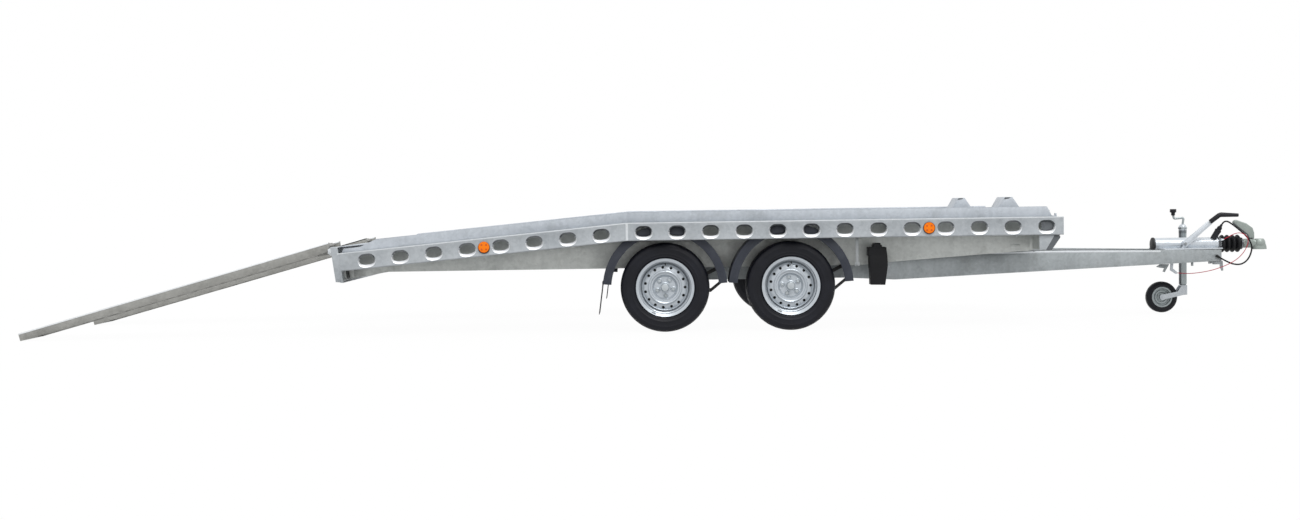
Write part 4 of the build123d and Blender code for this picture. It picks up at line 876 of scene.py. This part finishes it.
def turned_set(name, parts, axis, steps, finish, body="chassis"):
    """Turned pieces, each given as its profile and centre, made into one and finished."""
    made = [turned(profile, centre, axis, steps) for profile, centre in parts]
    return settle(joined(made), name, finish, body)


for where in wheel_places:
    side = 1.0 if where.endswith("left") else -1.0
    low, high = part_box("tyre_" + where)
    hub = (low + high) / 2.0
    axis = (0.0, side, 0.0)
    body = "wheel_" + where
    tyre = turned([(r / 1000.0, w / 1000.0) for r, w in tyre_profile], hub, axis, tread_steps)
    alone(tyre)
    bpy.ops.object.mode_set(mode="EDIT")
    shape = bmesh.from_edit_mesh(tyre.data)
    bpy.ops.mesh.select_all(action="DESELECT")
    # every third step of the shoulder is sunk, between the tread's outer blocks
    for face in shape.faces:
        place = face.calc_center_median()
        turn = int((math.atan2(place.y, place.x) / (2.0 * pi) % 1.0) * tread_steps)
        face.select = math.hypot(place.x, place.y) > 0.287 and abs(place.z) > 0.044 and turn % 3 == 0
    bmesh.update_edit_mesh(tyre.data)
    bpy.ops.mesh.extrude_region_shrink_fatten(TRANSFORM_OT_shrink_fatten={"value": -0.0045})
    bpy.ops.object.mode_set(mode="OBJECT")
    settle(tyre, "tread_tyre_" + where, tyre_rubber, body)
    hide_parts("tyre_" + where)

    rim = crisp("rim_" + where, rim_silver)
    # faces turned towards the axle, such as the rim's barrel, get painted shade
    second_coat(rim, rim_shade, lambda place, normal: abs(normal.y) < 0.55 and abs(place.y) < 0.985
                and (place.x - hub.x) * normal.x + (place.z - hub.z) * normal.z < 0.0)
    # a dark drum behind the vents: partly its own dark colour, partly painted shade seen through the vents
    settle(turned(drum_profile, hub, axis, 48), "brake_drum_" + where, dark_ring, body)
    # pressed rings of the wheel's disc, standing proud of it
    rings = [(ring, hub) for ring in disc_rings]
    turned_set("wheel_rings_" + where, rings, axis, 64, rim_silver, body)
    settle(turned(cap_profile, hub, axis, 32), "hub_cap_" + where, hub_zinc, body)
    u, y, v = (hub.x - middle) * 1000.0, hub.y * 1000.0, hub.z * 1000.0
    turns = [radians(90 + 72 * i + (11 if "front" in where else 40)) for i in range(5)]
    lugs = [(u + 56 * cos(turn), y + side * 29, v + 56 * sin(turn)) for turn in turns]
    bolts("wheel_bolts_" + where, lugs, (0, side, 0), 10.5, hub_zinc, body)
    seats = [(seat_profile, at(*place)) for place in lugs]
    turned_set("bolt_seats_" + where, seats, axis, 20, rim_silver, body)
    stem = turned(stem_profile, at(u + 4, y + side * 58, v + 158), (0.0, side, -0.25), 12)
    settle(stem, "valve_" + where, black_steel, body)
    weight = block((u - 92, y + side * 84, v - 168), (u - 62, y + side * 90.5, v - 160))
    weight.rotation_euler = (0.0, radians(27), 0.0)
    settle(round_edges(weight, 0.0015), "balance_weight_" + where, hub_zinc, body)


# ------------------------
# Mudguards: moulded black plastic, one double-arched guard over both wheels a
# side, on forked steel stays, with a rubber flap hung from its rear end.
guard_plastic = rubbery("guard_plastic", (42, 46, 56), (84, 88, 95), 0.28, 0.5, 0.14, 70.0,
                        Specular_IOR_Level=0.35)
black_rubber = rubbery("black_rubber", (9, 10, 14), (42, 43, 48), 0.2, 0.5, 0.14, 72.0,
                       Specular_IOR_Level=0.25)
for node in ("mudguards_left", "mudguards_right"):
    crisp(node, guard_plastic, 0.0012)
crisp("mudflaps", black_rubber, 0.001)
crisp("guard_stays", black_steel, 0.001)
for name, side in both_sides:
    strap = [block((852, side * 1000, 424), (872, side * 1004, 612)),
             block((846, side * 998, 424), (878, side * 1008, 446))]
    settle(round_edges(joined(strap), 0.001), "guard_strap_" + name, bolt_zinc)
    bolts("guard_bolts_" + name, [(862, side * 1008, 435)], (0, side, 0), 8, bolt_zinc)


# ------------------------
# Side lamps: round amber lenses with ribbed faces on black plastic bases, two
# a side, stuck to the outer faces of the rails.
crisp("side_lamps", black_plastic, 0.0015)
deep_amber = rubbery("deep_amber", (206, 84, 0), (150, 60, 0), 0.1, 0.2, 0.02, 76.0)
lens_profile = [(0.0, 0.0022), (0.01, 0.002), (0.03, 0.0012), (0.0365, 0.0002), (0.0372, -0.002),
                (0.0, -0.002)]
pip_profile = [(0.0, 0.0034), (0.0055, 0.003), (0.0075, 0.0), (0.0, 0.0)]
for end, x, lift in (("rear", -1616.0, 6), ("front", 1331.6, 4)):
    for name, side in both_sides:
        face = at(x, side * 1083.8, hole_height(x) + lift)
        axis = (0.0, side, 0.0)
        ending = "_" + end + "_" + name
        settle(turned(lens_profile, face, axis, 40), "side_lens" + ending, amber_lens)
        rings = [([(r - 0.0016, 0.0), (r, 0.0028), (r + 0.0016, 0.0)], face) for r in (0.012, 0.024, 0.033)]
        turned_set("lamp_rings" + ending, rings, axis, 28, amber_lens)
        turns = [radians(angle) for angle in (45, 135, 225, 315)]
        pips = [(pip_profile, face + 0.021 * Vector((cos(turn), 0.0, sin(turn)))) for turn in turns]
        turned_set("lamp_pips" + ending, pips, axis, 12, deep_amber)


# ------------------------
# Wheel chocks: black plastic wedges, parked upright in steel holders on the
# frame, with a soft black cover round each.
crisp("chock_holders", black_steel, 0.001)
crisp("chocks", black_rubber, 0.003)
for name, side in both_sides:
    band = [block((942, side * 872, 488), (1064, side * 972, 546)),
            block((951, side * 872, 404), (1068, side * 971, 500))]
    settle(round_edges(joined(band), 0.005), "chock_band_" + name, black_rubber)


# ------------------------
# Overrun housing: a bright zinc-plated tube on a flanged base plate that is
# bolted across the drawbar's beams, closed behind by a dark rubber-edged cap.
bright_zinc = zinc("bright_zinc", (164, 171, 178), (226, 231, 236), (140, 140, 138), 27.0, 0.35, 0.012,
                   Clouds=0.5, Spangle=0.08, Roughness=0.3)
crisp("overrun_housing", bright_zinc, 0.0012)
housing_height = 508
lengthwise = (1.0, 0.0, 0.0)
end_profile = [(0.0, 0.0), (0.04, 0.001), (0.049, 0.005), (0.0512, 0.009), (0.0512, 0.018), (0.0485, 0.021),
               (0.0, 0.021)]
rear_end = turned(end_profile, at(3125, 0, housing_height), lengthwise, 48)
settle(rear_end, "housing_rear_ring", black_steel)
places = [(x, side * y, 474) for x, y in ((3185, 62), (3300, 60), (3480, 52), (3590, 46)) for side in (1, -1)]
bolts("housing_bolts", places, (0, 0, 1), 8, bolt_zinc)
collars = []
for x, r in ((3590, 0.0495), (3540, 0.0488)):
    profile = [(r - 0.004, 0.0), (r, 0.001), (r, 0.007), (r - 0.004, 0.008)]
    collars.append((profile, at(x, 0, housing_height)))
turned_set("housing_collars", collars, lengthwise, 48, bright_zinc)


# ------------------------
# Bellows: moulded black rubber with four folds, pushed over the housing's end
# and held by a wire clip at each end.
folds = [(0.033, 0.181), (0.033, 0.001), (0.05, 0.0), (0.0512, 0.003), (0.0512, 0.014), (0.047, 0.018)]
fold_pitch = 0.0375
one_fold = ((0.049, 0.003), (0.059, 0.01), (0.0628, 0.015), (0.0635, 0.019), (0.0622, 0.023), (0.057, 0.028),
            (0.047, 0.034), (0.045, fold_pitch))
for i in range(4):
    folds += [(r, 0.018 + fold_pitch * i + along) for r, along in one_fold]
folds += [(0.043, 0.17), (0.043, 0.1795), (0.0415, 0.181)]
bellows = turned(folds, at(3602, 0, housing_height), lengthwise, 48)
settle(bellows, "folded_bellows", black_rubber, angle=45.0)
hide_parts("bellows")
clips = []
for x, r in ((3607, 0.0505), (3776, 0.0425)):
    profile = [(r - 0.001, 0.0), (r + 0.0012, 0.0008), (r + 0.0012, 0.003), (r - 0.001, 0.0036)]
    clips.append((profile, at(x, 0, housing_height)))
turned_set("bellows_clips", clips, lengthwise, 40, bright_zinc)


# ------------------------
# Ball coupling: a cast head with a faint green passivated coat, open below for
# the ball, and its lifting handle, pivoted on a cross pin in the neck.
cast_zinc = zinc("cast_zinc", (112, 121, 117), (174, 183, 178), (96, 102, 96), 33.0, 0.35, 0.02,
                 Clouds=0.6, Spangle=0.05, Roughness=0.42)
crisp("coupling_head", cast_zinc, 0.0015)
handle = crisp("coupling_handle", cast_zinc, 0.009, segments=4)
# the handle's downward faces get painted shade
second_coat(handle, shade_zinc, lambda place, normal: normal.z < -0.3)
outline = [(3786, 500), (3800, 486), (3850, 486), (3868, 500), (3868, 522), (3850, 532), (3800, 532),
           (3786, 522)]
flats = [side_plate(outline, side * 31, side * 36) for side in (1, -1)]
settle(round_edges(joined(flats), 0.0015), "coupling_cheeks", cast_zinc)
bolts("coupling_pin", [(3826, -36, 509)], (0, -1, 0), 7, bolt_zinc)
bolts("coupling_pin_far", [(3826, 36, 509)], (0, 1, 0), 7, bolt_zinc)


# ------------------------
# Hand brake: a flat bright lever on the housing's right side with a bent
# black plastic grip; its lower arm pulls the brake rod.
crisp("handbrake_lever", bright_zinc, 0.0012)
lever_grip = crisp("handbrake_grip", black_plastic, 0.004, segments=3)
grip_end, taper = at(3740, -75, 714), 0.72
for corner in lever_grip.data.vertices:
    if corner.co.x > grip_end.x - 0.012:
        corner.co.x -= 0.007
        corner.co.y = grip_end.y + taper * (corner.co.y - grip_end.y)
        corner.co.z = grip_end.z + taper * (corner.co.z - grip_end.z)
bolts("lever_pivot_bolt", [(3348, -89, 512)], (0, -1, 0), 10, bolt_zinc)
strip = side_plate([(3366, 522), (3372, 516), (3518, 644), (3512, 652)], -81.5, -78.5)
settle(round_edges(strip, 0.001), "lever_rib", bright_zinc)


# ------------------------
# Jockey wheel: a zinc-plated leg in a clamp, wound up and down by a cranked
# handle, over a trailing fork with a solid black tyre on a pressed rim.
tube_zinc = zinc("tube_zinc", (128, 136, 138), (190, 198, 200), (110, 112, 108), 80.0, 0.45, 0.03,
                 Clouds=0.5, Spangle=0.08, Roughness=0.32)
for node in ("jockey_clamp", "jockey_rim"):
    crisp(node, tube_zinc, 0.0008)
crisp("jockey_fork", bright_zinc, 0.0008)
# the tubes' rear-facing sides get painted shade
for node in ("jockey_tube", "jockey_screw_tube"):
    tube = crisp(node, tube_zinc, 0.0008)
    second_coat(tube, shade_zinc, lambda place, normal: normal.x < -0.6 and abs(normal.z) < 0.3)
crisp("jockey_tyre", tyre_rubber, 0.0015)
crank = crisp("jockey_crank", tube_zinc, 0.002)
knob_low = at(3311, 0, 713)
second_coat(crank, black_plastic, lambda place, normal: place.x < knob_low.x + 0.065 and place.z > knob_low.z)
leg_x, leg_y = 3421, 205
upright = (0.0, 0.0, 1.0)
dome_profile = [(0.0, 0.0255), (0.01, 0.0245), (0.02, 0.019), (0.0265, 0.01), (0.0285, 0.0), (0.0285, -0.022),
                (0.0, -0.022)]
dome = turned(dome_profile, at(leg_x, leg_y, 626), upright, 32)
settle(dome, "jockey_dome", bright_zinc, "jockey_leg")
rib_profile = [(0.0272, 0.0), (0.0292, 0.001), (0.0292, 0.003), (0.0272, 0.004)]
ribs = [(rib_profile, at(leg_x, leg_y, z)) for z in (584, 592, 600)]
turned_set("jockey_tube_ribs", ribs, upright, 32, black_plastic, "jockey_leg")
wheel = at(3261, leg_y, 114)
for name, side in (("near", -1.0), ("far", 1.0)):
    rings = []
    for r, w in ((0.018, 0.031), (0.034, 0.0145), (0.052, 0.0125)):
        section = ((-0.003, -0.006), (-0.002, 0.0), (0.0, 0.0015), (0.002, 0.0), (0.003, -0.006))
        rings.append(([(r + dr, w + dw) for dr, dw in section], wheel))
    turned_set("jockey_rim_rings_" + name, rings, (0.0, side, 0.0), 36, tube_zinc, "jockey_wheel")
